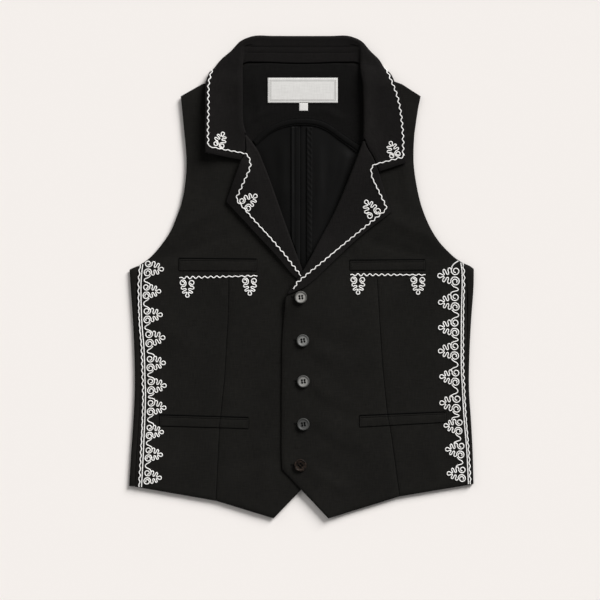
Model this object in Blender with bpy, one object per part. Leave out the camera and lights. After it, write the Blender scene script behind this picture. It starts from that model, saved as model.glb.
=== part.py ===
"""Embroidered notch-lapel waistcoat, buttoned and laid flat on its back.

World: +Z up, collar towards +Y, the wearer's left on +X. Metres in Blender, the tables below in mm.
Every panel is a closed wall of cloth. Names with left and right are the wearer's.
"""
import math

import bpy
import bmesh

for old in list(bpy.data.objects):
    bpy.data.objects.remove(old, do_unlink=True)

MM = 0.001
GAP = 0.3
CLOTH = 1.6
BACK_CLOTH = 1.6
LINING_CLOTH = 1.0
FACING_CLOTH = 1.0
ROLLED_CLOTH = 1.4
LINING_FLOOR = 2.0
FRONT_FLOOR = 3.5
ROLL_RISE = 1.7
LIMB_MID = 4.15
LAPEL_MID = 8.1
FOLD_RADIUS = 2.6


def lerp(a, b, t):
    return a + (b - a) * t


def ramp(t):
    t = min(1.0, max(0.0, t))
    return t * t * (3.0 - 2.0 * t)


def along(keys, counts, smooth=True):
    """Points through the keys, each span cut into its count, on a soft curve or straight."""
    points = [tuple(keys[0])]
    last = len(keys) - 1
    for k, count in enumerate(counts):
        p0 = keys[max(0, k - 1)]
        p1 = keys[k]
        p2 = keys[k + 1]
        p3 = keys[min(last, k + 2)]
        for i in range(1, count + 1):
            t = i / count
            if not smooth:
                points.append(tuple(lerp(p1[c], p2[c], t) for c in range(len(p1))))
                continue
            spot = []
            for c in range(len(p1)):
                m1 = 0.5 * (p2[c] - p0[c])
                m2 = 0.5 * (p3[c] - p1[c])
                a = 2 * p1[c] - 2 * p2[c] + m1 + m2
                b = 3 * p2[c] - 3 * p1[c] - 2 * m1 - m2
                spot.append(((a * t + b) * t + m1) * t + p1[c])
            points.append(tuple(spot))
    return points


def joined(*runs):
    out = list(runs[0])
    for run in runs[1:]:
        out += run[1:]
    return out


def across(y, table):
    """x at this y in a table of (y, x) rows that rises in y."""
    if y <= table[0][0]:
        return table[0][1]
    for (y0, x0), (y1, x1) in zip(table, table[1:]):
        if y <= y1:
            return lerp(x0, x1, (y - y0) / (y1 - y0))
    return table[-1][1]


def patch(bottom, top, left, right):
    """Grid between four edge lines: rows run from bottom to top, columns from left to right."""
    rows = len(left)
    cols = len(bottom)
    grid = []
    for i in range(rows):
        v = i / (rows - 1)
        line = []
        for j in range(cols):
            u = j / (cols - 1)
            spot = []
            for c in range(2):
                ruled_v = lerp(bottom[j][c], top[j][c], v)
                ruled_u = lerp(left[i][c], right[i][c], u)
                low = lerp(bottom[0][c], bottom[-1][c], u)
                high = lerp(top[0][c], top[-1][c], u)
                spot.append(ruled_v + ruled_u - lerp(low, high, v))
            line.append(tuple(spot))
        grid.append(line)
    return grid


def away_from(line, x, y):
    """Distance from a point to an open line."""
    best = 1e9
    for (x0, y0), (x1, y1) in zip(line, line[1:]):
        dx = x1 - x0
        dy = y1 - y0
        t = ((x - x0) * dx + (y - y0) * dy) / (dx * dx + dy * dy)
        t = min(1.0, max(0.0, t))
        best = min(best, math.hypot(x - x0 - t * dx, y - y0 - t * dy))
    return best


def sideways(line, sign):
    """Unit vectors square to the line at each of its points."""
    out = []
    for i in range(len(line)):
        a = line[max(0, i - 1)]
        b = line[min(len(line) - 1, i + 1)]
        dx = b[0] - a[0]
        dy = b[1] - a[1]
        size = math.hypot(dx, dy)
        out.append((-dy / size * sign, dx / size * sign))
    return out


def paint(name, colour, rough):
    found = bpy.data.materials.get(name)
    if found:
        return found
    made = bpy.data.materials.new(name)
    made.diffuse_color = (*colour, 1.0)
    made.use_nodes = True
    shader = made.node_tree.nodes["Principled BSDF"]
    shader.inputs["Base Color"].default_value = (*colour, 1.0)
    shader.inputs["Roughness"].default_value = rough
    return made


PAINTS = {
    "suiting": ((0.022, 0.021, 0.020), 0.9),
    "lining_satin": ((0.014, 0.013, 0.012), 0.6),
    "label_satin": ((0.72, 0.71, 0.69), 0.6),
    "horn": ((0.16, 0.15, 0.14), 0.25),
}


def closed_wall(name, upper, lower, quads, paint_name):
    """A closed wall between two matching sets of points, rimmed wherever the quads end."""
    bm = bmesh.new()
    up = [bm.verts.new((x * MM, y * MM, z * MM)) for x, y, z in upper]
    low = [bm.verts.new((x * MM, y * MM, z * MM)) for x, y, z in lower]
    edges = set()
    for quad in quads:
        for a, b in zip(quad, quad[1:] + quad[:1]):
            edges.add((a, b))
        bm.faces.new([up[k] for k in quad])
        bm.faces.new([low[k] for k in reversed(quad)])
    for a, b in edges:
        if (b, a) not in edges:
            bm.faces.new([up[b], up[a], low[a], low[b]])
    loose = [v for v in bm.verts if not v.link_faces]
    bmesh.ops.delete(bm, geom=loose, context="VERTS")
    bmesh.ops.recalc_face_normals(bm, faces=bm.faces)
    if bm.calc_volume(signed=True) < 0:
        bmesh.ops.reverse_faces(bm, faces=bm.faces)
    mesh = bpy.data.meshes.new(name)
    bm.to_mesh(mesh)
    bm.free()
    mesh.materials.append(paint(paint_name, *PAINTS[paint_name]))
    for face in mesh.polygons:
        face.use_smooth = True
    mesh.set_sharp_from_angle(angle=math.radians(50))
    obj = bpy.data.objects.new(name, mesh)
    bpy.context.scene.collection.objects.link(obj)
    return obj


def grid_quads(rows, cols, keep=None):
    quads = []
    for i in range(rows - 1):
        for j in range(cols - 1):
            if keep is None or keep(i, j):
                a = i * cols + j
                quads.append([a, a + 1, a + cols + 1, a + cols])
    return quads


def laid(name, grid, floor, thick, paint_name):
    """A panel that lies flat: its underside at floor(x, y), its face straight above."""
    flat = [p for line in grid for p in line]
    lower = [(x, y, floor(x, y)) for x, y in flat]
    upper = [(x, y, z + thick) for x, y, z in lower]
    return closed_wall(name, upper, lower, grid_quads(len(grid), len(grid[0])), paint_name)


def minus(a, b):
    return (a[0] - b[0], a[1] - b[1], a[2] - b[2])


def crossed(a, b):
    return (a[1] * b[2] - a[2] * b[1], a[2] * b[0] - a[0] * b[2], a[0] * b[1] - a[1] * b[0])


def unit(a):
    size = math.sqrt(a[0] ** 2 + a[1] ** 2 + a[2] ** 2)
    return (a[0] / size, a[1] / size, a[2] / size)


def folded(name, grid, thick, paint_name, keep=None):
    """A wall about a middle sheet that may fold over, thickened square to itself."""
    rows = len(grid)
    cols = len(grid[0])
    upper = []
    lower = []
    for i in range(rows):
        for j in range(cols):
            here = grid[i][j]
            du = minus(grid[i][min(cols - 1, j + 1)], grid[i][max(0, j - 1)])
            dv = minus(grid[min(rows - 1, i + 1)][j], grid[max(0, i - 1)][j])
            n = unit(crossed(du, dv))
            upper.append(tuple(here[c] + 0.5 * thick * n[c] for c in range(3)))
            lower.append(tuple(here[c] - 0.5 * thick * n[c] for c in range(3)))
    return closed_wall(name, upper, lower, grid_quads(rows, cols, keep), paint_name)


# Roll lines from the button break up to the gorge seam, then up the collar, as (x, y).
ROLL_RIGHT = [(18, -24), (0, 14), (-27, 88), (-43, 133), (-61, 177), (-70, 190), (-77, 199)]
ROLL_LEFT = [(-20, -23), (4, 12), (26, 53), (46, 91), (64, 133), (78, 169), (86, 190)]
NECK_RIGHT = [(-77, 199), (-81, 212), (-82, 228), (-82.4, 258), (-88, 287)]
NECK_LEFT = [(86, 190), (86.5, 212), (86.5, 228), (86.4, 258), (91.5, 287)]


def neck_rise(x, y):
    """The back lifts over the collar fall folded under it."""
    return 2.1 * ramp((y - 232) / 50) * ramp((154 - abs(x)) / 46)


def back_floor(x, y):
    return neck_rise(x, y)


def lining_floor(x, y):
    return LINING_FLOOR + neck_rise(x, y)


def lap_rise(x, y):
    """How far the wearer's left front lifts to pass over the right front and its lapel."""
    lap = 2.2 * ramp((72 - x) / 44) * ramp((76 - y) / 66)
    crossing = 3.2 * ramp((80 - math.hypot(x - 4, y + 4)) / 54)
    return lap + crossing


def roll_rise(line, x, y):
    return ROLL_RISE * ramp((30 - away_from(line, x, y)) / 12) * ramp((268 - y) / 9)


WHOLE_RIGHT = ROLL_RIGHT + NECK_RIGHT[1:]
WHOLE_LEFT = ROLL_LEFT + NECK_LEFT[1:]


def right_floor(x, y):
    """Underside of the wearer's right front."""
    return FRONT_FLOOR + neck_rise(x, y) + roll_rise(WHOLE_RIGHT, x, y)


def left_floor(x, y):
    """Underside of the wearer's left front."""
    return FRONT_FLOOR + neck_rise(x, y) + roll_rise(WHOLE_LEFT, x, y) + lap_rise(x, y)


# Outer fold of each side, as (y, x) from hem to underarm.
FOLD_RIGHT = [(-291, -241.6), (-270, -240.6), (-245, -238.6), (-220, -236.6), (-190, -234.9),
              (-165, -233.6), (-120, -233.6), (-85, -234.9), (-52, -236.6), (-18, -239.2), (9, -240.9)]
FOLD_LEFT = [(-291, 241.2), (-270, 241.2), (-245, 239.9), (-220, 239.6), (-190, 236.6),
             (-165, 234.8), (-120, 235.2), (-85, 236.2), (-52, 238.4), (-18, 241.2), (9, 241.6)]
# Side seam on the front face, as (y, x).
SEAM_RIGHT = [(-292, -233.4), (-242, -230.6), (-200, -227.8), (-158, -226.0), (-102, -226.2),
              (-60, -229.0), (-11, -231.2), (15.5, -228.3)]
SEAM_LEFT = [(-292, 237.4), (-245, 235.6), (-195, 232.6), (-151, 231.0), (-122, 231.2),
             (-56, 232.2), (-11, 231.0), (20, 225.0)]
ARM_RIGHT = [(-228.3, 15.5), (-214.6, 24.9), (-206.5, 32.5), (-193, 49), (-182, 66), (-175, 83),
             (-169, 99.5), (-165, 116), (-161.8, 141), (-161, 167), (-163.8, 200), (-169, 253)]
ARM_LEFT = [(225.0, 20), (213.5, 28), (206, 35), (193, 49), (182, 66), (174, 83),
            (168, 99.5), (163.5, 117), (158.2, 148), (157, 176), (160, 217), (167, 253)]
SHOULDER_RIGHT = [(-169, 253), (-140, 269.5), (-87, 289)]
SHOULDER_LEFT = [(167, 253.5), (141, 270), (90, 291)]


def inset(line, sign, gap):
    normals = sideways(line, sign)
    return [(p[0] + n[0] * gap, p[1] + n[1] * gap) for p, n in zip(line, normals)]


def dart_x(y, table):
    return across(y, table)


# Dart lines as (y, x), from the hem to the breast pocket.
DART_RIGHT = [(-312, -119.7), (-214, -114.9), (-180, -111.7), (-144, -107.8), (-60, -102.8), (-2, -101.5)]
DART_LEFT = [(-307.4, 137.6), (-224, 126.3), (-185, 119.7), (-122, 113.4), (-62, 109.6), (-4, 106.3)]
DART_HALF = 1.6
DART_DEPTH = 0.55


SIDE_Y = (-291, -242, -200, -158, -102, -60, -11, 9)


def front_panel(name, seam, arm, shoulder, hem_keys, edge, roll, sign, floor, dart, dart_column):
    """One front: side seam and armhole on one side, front edge and roll line on the other."""
    side = along([hem_keys[0]] + [(across(y, seam), y) for y in SIDE_Y[1:-1]] + [arm[0]], [2, 1, 2, 2, 1, 2, 1], smooth=False)
    arm_line = along(arm, [1] * 7 + [2, 2, 2, 3])
    outer = joined(side, arm_line)
    rolled = along(roll, [2, 3, 2, 2, 1, 1, 1, 1, 2, 2])
    rolled = inset(rolled, sign, 3.3)
    inner = along(edge, [3, 1, 2, 2, 1], smooth=False) + rolled
    if len(inner) != len(outer):
        raise ValueError(f"{name}: inner {len(inner)} outer {len(outer)}")
    hem = along(hem_keys, [dart_column, 13 - dart_column], smooth=False)
    top = along([shoulder[0], shoulder[1], inner[-1]], [7, 6], smooth=False)
    grid = patch(hem, top, outer, inner)
    for line in grid:
        y = line[dart_column][1]
        want = dart_x(y, dart)
        blend = ramp((30 - y) / 60)
        want = lerp(line[dart_column][0], want, blend)
        first = line[0][0]
        last = line[-1][0]
        was = line[dart_column][0]
        for j in range(1, len(line) - 1):
            x = line[j][0]
            if j <= dart_column:
                t = (x - first) / (was - first)
                x = lerp(first, want, t)
            else:
                t = (x - was) / (last - was)
                x = lerp(want, last, t)
            line[j] = (x, line[j][1])
        here = line[dart_column]
        for j in (dart_column - 1, dart_column + 1):
            t = DART_HALF / abs(line[j][0] - here[0])
            line[j] = (lerp(here[0], line[j][0], t), lerp(here[1], line[j][1], t))
    flat = [(i, j, p) for i, line in enumerate(grid) for j, p in enumerate(line)]
    lower = []
    upper = []
    for i, j, (x, y) in flat:
        z = floor(x, y)
        sink = DART_DEPTH if j == dart_column and y < -2 else 0.0
        lower.append((x, y, z))
        upper.append((x, y, z + CLOTH - sink))
    closed_wall(name, upper, lower, grid_quads(len(grid), len(grid[0])), "suiting")


front_panel("front_right", SEAM_RIGHT, ARM_RIGHT, SHOULDER_RIGHT,
            [(-233.4, -293.6), (-119.7, -313.4), (-39, -338.1)],
            [(-39, -338.1), (27, -269.5), (28, -248), (28, -172), (27, -88), (24, -30)],
            WHOLE_RIGHT, 1, right_floor, DART_RIGHT, 7)
front_panel("front_left", SEAM_LEFT, ARM_LEFT, SHOULDER_LEFT,
            [(237.4, -290.6), (137.8, -307.3), (37.8, -338.1)],
            [(37.8, -338.1), (-27, -269.5), (-28, -248), (-28, -172), (-27, -88), (-21.8, -28.4)],
            WHOLE_LEFT, -1, left_floor, DART_LEFT, 7)


def back_panel(name, fold, arm, seam_table, sign, hem_y):
    """Half of the outer back, with the strip that turns round the side up to the side seam."""
    centre = [(0.15 * sign, y) for y in (-290, -250, -205, -160, -110, -60, -15, 10, 60, 110, 160, 210,
                                         250, 268, 284, 298.6)]
    side_y = (hem_y,) + SIDE_Y[1:]
    wall = [(across(y, fold) - sign * FOLD_RADIUS, y) for y in side_y]
    arm_in = [(p[0] - sign * 0.8, p[1] - 0.8) for p in arm]
    up_arm = along([wall[-1], arm_in[1], arm_in[3], arm_in[5], arm_in[7], arm_in[9], arm_in[11]],
                   [1, 1, 1, 1, 2, 2])
    outer = joined(wall, up_arm)
    hem = [(lerp(centre[0][0], wall[0][0], j / 8), lerp(-290, hem_y, j / 8)) for j in range(9)]
    top = along([centre[-1], (44 * sign, 299.7), (78 * sign, 299.2), (94 * sign, 286.5), (137 * sign, 269.6),
                 outer[-1]], [2, 2, 1, 2, 1], smooth=False)
    grid = patch(hem, top, centre, outer)
    rows = len(grid)
    cols = len(grid[0])
    half = 0.5 * BACK_CLOTH
    mid_low = half
    mid_high = FRONT_FLOOR + CLOTH - half
    radius = 0.5 * (mid_high - mid_low)
    points = []
    for line in grid:
        points.append([(x, y, back_floor(x, y) + half) for x, y in line])
    wrap_rows = len(side_y)
    for i in range(rows):
        extra = []
        y = side_y[min(i, wrap_rows - 1)]
        x_fold = across(y, fold)
        centre_x = x_fold - sign * (half + radius)
        rise = (arm[0][1] - 9.0) if i == wrap_rows - 1 else 0.0
        for k, degrees in enumerate((-45, 0, 45, 90)):
            a = math.radians(degrees)
            extra.append((centre_x + sign * radius * math.cos(a), y + 0.12 * rise * k,
                          mid_low + radius + radius * math.sin(a)))
        x_seam = across(y, seam_table) + sign * GAP
        if i == wrap_rows - 1:
            x_seam = arm[0][0] + sign * GAP
        extra.append((x_seam, y + rise, mid_high))
        points[i] += extra
    cols_all = cols + 5

    def keep(i, j):
        return j < cols - 1 or i < wrap_rows - 1

    upper = []
    lower = []
    for i in range(rows):
        for j in range(cols_all):
            here = points[i][j]
            flat = j < cols
            if flat:
                n = (0, 0, 1)
            else:
                a = points[i][min(cols_all - 1, j + 1)]
                b = points[i][j - 1]
                n = unit((-(a[2] - b[2]) * sign, 0, (a[0] - b[0]) * sign))
                if j == cols_all - 1:
                    n = (0, 0, -1)
            upper.append(tuple(here[c] + half * n[c] for c in range(3)))
            lower.append(tuple(here[c] - half * n[c] for c in range(3)))
    closed_wall(name, upper, lower, grid_quads(rows, cols_all, keep), "suiting")


back_panel("back_right", FOLD_RIGHT, ARM_RIGHT, SEAM_RIGHT, -1, -293)
back_panel("back_left", FOLD_LEFT, ARM_LEFT, SEAM_LEFT, 1, -290.4)

# Arched seam between the back neck facing and the lining, as (x, y), from the wearer's right.
ARCH = [(-159, 158), (-125, 158), (-98, 159), (-80, 168), (-65.5, 185.5), (-50, 201), (-27, 214.5),
        (-2, 218), (23, 215.5), (48, 203.5), (64, 190), (80.5, 178.3), (98, 162), (125, 158), (155.5, 158)]
LINING_SEAM_X = -1.4


def lining_panel(name, fold, arm, arch, sign):
    centre_keys = (-283, -230, -170, -110, -60, -15, 10, 50, 95, 135, 160, 190, 217.7)
    centre = [(LINING_SEAM_X + sign * 0.5 * GAP, y) for y in centre_keys]
    wall = [(across(y, fold) - sign * 5.2, y) for y in (-284, -230, -170, -110, -60, -15)]
    near = [(across(1.0, fold) - sign * 9.0, 1.0)]
    arm_in = [(p[0] - sign * 1.6, p[1] - 1.6) for p in arm]
    outer = wall + near + [arm_in[1], arm_in[3], arm_in[5], arm_in[7], (arm_in[8][0], 141), arch[-1]]
    hem = [(lerp(centre[0][0], wall[0][0], j / 10), lerp(-283, -284, j / 10)) for j in range(11)]
    top = [(x, y - 0.5 * GAP) for x, y in arch]
    top[0] = centre[-1]
    hem = [(lerp(centre[0][0], wall[0][0], j / (len(top) - 1)), -283.5) for j in range(len(top))]
    hem[0] = centre[0]
    hem[-1] = wall[0]
    grid = patch(hem, top, centre, outer)
    laid(name, grid, lining_floor, LINING_CLOTH, "lining_satin")


lining_panel("lining_right", FOLD_RIGHT, ARM_RIGHT, list(reversed(ARCH[:8])), -1)
lining_panel("lining_left", FOLD_LEFT, ARM_LEFT, ARCH[7:], 1)

facing_bottom = [(x, y + GAP) for x, y in ARCH]
facing_top = [(-167.5, 251.2), (-130, 267.6), (-112, 275), (-96, 281), (-77, 297.6), (-50, 299.3),
              (-25, 298.4), (-2, 298.0), (25, 298.4), (50, 299.3), (78, 297.6), (97, 281), (112, 275),
              (128, 269), (165.5, 251.2)]
facing_left = along([facing_bottom[0], (-160.5, 190), (-163.5, 220), facing_top[0]], [2, 2, 2])
facing_right = along([facing_bottom[-1], (156.5, 190), (160, 220), facing_top[-1]], [2, 2, 2])
laid("back_facing", patch(facing_bottom, facing_top, facing_left, facing_right), lining_floor,
     FACING_CLOTH, "suiting")

# Bound edge of the facing, visible part, as (x, y): upper edge then lower edge.
BIND_TOP = [(-68.3, 190.5), (-60, 199.8), (-51, 207.3), (-39, 214.4), (-27, 219.3), (-14, 222.2), (-1, 223.3),
            (14, 222.6), (29, 219.6), (43, 212.4), (56, 202.9), (69, 194), (83.5, 186)]
BIND_LOW = [(-63.6, 183.4), (-55, 191.6), (-46, 199.2), (-35.5, 205.2), (-24.5, 209.4), (-12.5, 211.9), (-0.5, 212.7),
            (12.5, 212.2), (25.5, 209.4), (38.5, 203), (51, 193.8), (64, 184.4), (77.8, 173)]
BIND_LIFT = 1.5


def binding_floor(x, y):
    return LINING_FLOOR + BIND_LIFT


bind_grid = []
for t in (0.0, 0.33, 0.67, 1.0):
    bind_grid.append([(lerp(a[0], b[0], t), lerp(a[1], b[1], t)) for a, b in zip(BIND_LOW, BIND_TOP)])
laid("facing_binding", bind_grid, binding_floor, 1.1, "suiting")


def strip(name, x0, x1, roll, top_y, rows, floor, thick, pucker):
    """Seam allowance on the lining, from the binding down to where the lapels close over it."""
    table = sorted((y, x) for x, y in roll)
    ends = []
    for x in (x0, x1):
        best = min((abs(across(0.5 * k, table) - x), 0.5 * k) for k in range(20, 260))
        ends.append(best[1] + 1.5)
    grid = []
    for i in range(rows + 1):
        t = i / rows
        line = []
        for k in range(4):
            u = k / 3
            low = lerp(ends[0], ends[1], u)
            y = lerp(low, top_y - 0.0 * u, t)
            y += pucker * 2.2 * (u - 0.5) * math.sin(math.pi * t)
            line.append((lerp(x0, x1, u), y))
        grid.append(line)
    lower = []
    upper = []
    for i, line in enumerate(grid):
        for k, (x, y) in enumerate(line):
            z = floor
            bump = pucker * 0.5 * (1 if i % 2 else -1) if 0 < k < 3 else 0.0
            lower.append((x, y, z))
            upper.append((x, y, z + thick + bump))
    closed_wall(name, upper, lower, grid_quads(len(grid), 4), "lining_satin")


SEAM_STRIP_FLOOR = LINING_FLOOR + LINING_CLOTH + GAP
strip("seam_allowance_right", -14.4, -5.6, ROLL_RIGHT, 210.6, 8, SEAM_STRIP_FLOOR, 1.0, 0.0)
strip("seam_allowance_left", 7.2, 15.4, ROLL_LEFT, 209.8, 44, SEAM_STRIP_FLOOR, 1.5, 1.0)


def fold_points(spot, n, low, high):
    """Middle sheet of a roll: from under it, round its edge at spot, to on top of it."""
    radius = 0.5 * (high - low)
    out = []
    for degrees in (-90, -45, 0, 45, 90):
        a = math.radians(degrees)
        reach = 0.5 * ROLLED_CLOTH + radius - radius * math.cos(a)
        out.append((spot[0] + n[0] * reach, spot[1] + n[1] * reach, low + radius + radius * math.sin(a)))
    return out


LIMB = 14.0


def lapel(name, roll, low_edge, tip_edge, gorge, sign, rise, curl):
    """Facing that turns over the front along the roll line and ends at the gorge seam."""
    line = along(roll, [2, 3, 2, 2, 1, 1])
    normals = sideways(line, sign)
    rows = len(line)
    inner = []
    for p, n in zip(line, normals):
        reach = 0.5 * ROLLED_CLOTH + 0.5 * (LAPEL_MID - LIMB_MID)
        inner.append((p[0] + n[0] * reach, p[1] + n[1] * reach))
    cols = 7
    outer = along(tip_edge, [(rows - 1) // 2, rows - 1 - (rows - 1) // 2])
    bottom = along([inner[0]] + low_edge + [tip_edge[0]], [2, 1, 1, 1, 1])
    top = along([inner[-1]] + gorge + [tip_edge[-1]], [2, 2, 2])
    flat = patch(bottom, top, inner, outer)
    grid = []
    for i, (p, n) in enumerate(zip(line, normals)):
        folds = fold_points(p, n, LIMB_MID, LAPEL_MID)
        narrow = min(1.0, 0.35 + 0.2 * i)
        far = (p[0] + n[0] * LIMB * narrow, p[1] + n[1] * LIMB * narrow)
        row = [(far[0], far[1], LIMB_MID + rise(far[0], far[1]))]
        row += [(x, y, z + rise(x, y)) for x, y, z in folds]
        for j in range(1, cols):
            x, y = flat[i][j]
            row.append((x, y, LAPEL_MID + rise(x, y) + curl(j / (cols - 1), i / (rows - 1))))
        grid.append(row)
    folded(name, grid, ROLLED_CLOTH, "suiting")


def flat_rise(x, y):
    return 0.0


lapel("lapel_right", ROLL_RIGHT, [(8, -15.5), (-13, 3), (-29, 22.5), (-58, 54)],
      [(-105.3, 105), (-95, 134), (-84.3, 163)], [(-77.6, 187), (-77.8, 174)], 1, flat_rise,
      lambda u, v: 2.4 * u * u * v)
lapel("lapel_left", ROLL_LEFT, [(3.6, -15.2), (15.4, -6.3), (36, 13), (84, 58)],
      [(125.7, 90.3), (117, 118), (108.2, 146.6)], [(91.5, 181), (100.5, 166)], -1, lap_rise,
      lambda u, v: 0.4 * u * v)


def side_row(roll_at, n, end, limb, low, high, lift):
    """Collar section where it lies on the shoulder: under limb, roll, then out to the edge."""
    folds = fold_points(roll_at, n, low, high)
    reach = 0.5 * ROLLED_CLOTH + 0.5 * (high - low) + limb
    row = [(roll_at[0] + n[0] * reach, roll_at[1] + n[1] * reach, low)]
    row += folds
    start = folds[-1]
    for t in (0.2, 0.4, 0.6, 0.76, 0.89, 1.0):
        row.append((lerp(start[0], end[0], t), lerp(start[1], end[1], t), high + lift * t * t))
    return [(x, y, z + neck_rise(x, y)) for x, y, z in row]


def collar_half(side, roll_x, points, bottom, lift, corner):
    """Rows from the collar point up to the back of the neck, on the side given."""
    rows = []
    for k, (x, y, ex, ey, limb) in enumerate(points):
        n = (side, 0.12 * side * side if False else 0.0)
        if k == 0:
            n = unit((side * 0.95, 0.32, 0))[:2]
        row = side_row((x, y), n, (ex, ey), limb, LIMB_MID, LAPEL_MID, lift[k])
        if k == 0:
            for j, (bx, by) in enumerate(bottom):
                row[6 + j] = (bx, by, row[6 + j][2])
        rows.append(row)
    rows += corner
    return rows


# Rows over the collar's right half: roll x, y, edge x, y, length of the limb under the front.
RIGHT_ROWS = [(-77.2, 200.2, -134.2, 173.4, LIMB), (-80.6, 212, -134.6, 192, LIMB), (-82, 228, -134.6, 214, LIMB),
              (-82, 244, -134.2, 238, LIMB), (-82, 257, -134.4, 256, 0.6), (-82, 272, -133.2, 274, 0.4)]
RIGHT_BOTTOM = [(-78.7, 187), (-79.2, 174), (-84.8, 163.6), (-101, 166.4), (-119, 170.2), (-134.2, 173.4)]
LEFT_ROWS = [(86.0, 191.6, 146.4, 159.4, LIMB), (86.5, 208, 146.2, 186, LIMB), (86.5, 226, 144.6, 214, LIMB),
             (86.5, 243, 141.4, 238, LIMB), (86, 256, 137, 256, 0.6), (85.5, 270, 130.6, 272, 0.4)]
LEFT_BOTTOM = [(92.8, 181.6), (101.8, 166.6), (108.9, 147.2), (121, 151), (134, 155.4), (146.4, 159.4)]


# How much narrower each corner row is than the table, for each side.
CORNER_PULL = {-1: (-0.028, 0.0, 0.015, 0.02, 0.01, 0.0, 0.0), 1: (0.02, 0.034, 0.034, 0.034, 0.02, 0.0, 0.0)}


def corner_rows(side, table):
    """Rows where the fall turns from over the shoulder to under the back, given point by point."""
    return [[(side * x * (1 - CORNER_PULL[side][k] * ramp((j - 4) / 4)), y, z) for j, (x, y, z) in enumerate(row)]
            for k, row in enumerate(table)]


# Each row: under limb or neck seam, five points of the roll, two on top, three round the outer fold, the edge.
CORNER = [
    [(86.4, 289, 6.1), (84.6, 288.9, 6.4), (83.4, 288.8, 6.9), (82.9, 288.7, 7.3), (83.5, 288.6, 8.0),
     (85.4, 288.5, 8.5), (95, 288.4, 8.7), (106, 288.2, 8.8), (114, 288.0, 8.5), (119, 287.6, 7.2),
     (122.6, 287.0, 5.6), (125.4, 286.4, 4.2)],
    [(83.5, 297.4, 5.0), (82.6, 299.6, 5.3), (82.2, 301.4, 6.0), (82.2, 302.4, 6.9), (83.0, 302.8, 7.9),
     (84.9, 303.2, 8.6), (92, 304, 8.9), (101, 305, 8.8), (108, 305.4, 7.8), (111.2, 304.9, 5.0),
     (109, 300.8, 1.2), (104, 288.6, 0.8)],
    [(76, 300.9, 4.9), (78.5, 305.6, 5.1), (80.5, 309.6, 5.6), (81.6, 311.9, 6.5), (82.5, 313.2, 7.6),
     (84.2, 314.2, 8.5), (89, 315.4, 8.8), (94, 316.4, 8.5), (97.8, 317.0, 7.3), (99.2, 315.6, 4.6),
     (97, 311.0, 1.1), (88, 287.0, 0.8)],
    [(66, 301.0, 4.9), (69.5, 308.2, 5.1), (73.2, 314.6, 5.5), (76.8, 320, 6.1), (79.4, 323.4, 6.9),
     (81.4, 325.4, 7.7), (83.4, 327.0, 8.1), (85.4, 328.3, 7.9), (87.1, 329.0, 6.8), (87.0, 327.6, 4.4),
     (84.6, 322.8, 1.1), (75, 286.4, 0.8)],
    [(52, 301.0, 4.9), (55.2, 308.4, 5.1), (58.6, 315.4, 5.4), (61.8, 321.6, 5.8), (64.6, 326.6, 6.3),
     (66.8, 330.4, 6.8), (68.2, 332.8, 7.2), (69.4, 334.8, 7.0), (70.0, 336.0, 5.9), (69.8, 335.8, 3.6),
     (68.6, 331.4, 1.0), (60, 286.2, 0.8)],
    [(34, 300.4, 4.9), (35.2, 308.2, 5.1), (36.4, 315.6, 5.3), (37.4, 321.8, 5.6), (38.4, 327, 5.9),
     (39.0, 331.0, 6.3), (39.4, 333.6, 6.5), (39.7, 335.6, 6.1), (39.9, 336.7, 4.9), (39.9, 336.4, 2.9),
     (39.4, 333.2, 0.9), (35, 286.6, 0.8)],
    [(15, 299.6, 4.9), (15.4, 307.6, 5.1), (15.8, 315.2, 5.3), (16.1, 321.6, 5.5), (16.3, 326.9, 5.8),
     (16.4, 331.0, 6.1), (16.5, 333.6, 6.3), (16.6, 335.6, 5.9), (16.6, 336.7, 4.7), (16.6, 336.4, 2.8),
     (16.4, 333.2, 0.9), (15, 286.8, 0.8)],
]

right_half = collar_half(-1, -82, RIGHT_ROWS, RIGHT_BOTTOM, [3.4, 3.6, 3.2, 2.6, 1.8, 0.6],
                         corner_rows(-1, CORNER))
left_half = collar_half(1, 86, LEFT_ROWS, LEFT_BOTTOM, [0.8, 0.8, 0.6, 0.5, 0.4, 0.2],
                        corner_rows(1, CORNER))
collar_grid = right_half + list(reversed(left_half))
folded("collar", collar_grid, ROLLED_CLOTH, "suiting")


def welt(name, corners, floor, thick=1.3):
    """Pocket welt lying on the front: corners from low outer to low inner, high inner, high outer."""
    (ax, ay), (bx, by), (cx, cy), (dx, dy) = corners
    grid = []
    for t in (0.0, 0.5, 1.0):
        line = []
        for k in range(9):
            u = k / 8
            line.append((lerp(lerp(ax, bx, u), lerp(dx, cx, u), t), lerp(lerp(ay, by, u), lerp(dy, cy, u), t)))
        grid.append(line)

    def on_front(x, y):
        return floor(x, y) + CLOTH + GAP + 0.15

    laid(name, grid, on_front, thick, "suiting")


welt("breast_welt_right", [(-171.5, 8.9), (-62.8, 8.4), (-62.6, 24.4), (-171.3, 25.4)], right_floor)
welt("breast_welt_left", [(68, 9.4), (173, 9.8), (173, 23.6), (68, 22.8)], left_floor)
welt("hip_welt_right", [(-198.6, -208.4), (-74, -212.1), (-74, -197.4), (-198.4, -193.6)], right_floor)
welt("hip_welt_left", [(81.5, -210), (202.7, -203.2), (202.7, -189.5), (81.5, -194.7)], left_floor)


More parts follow.
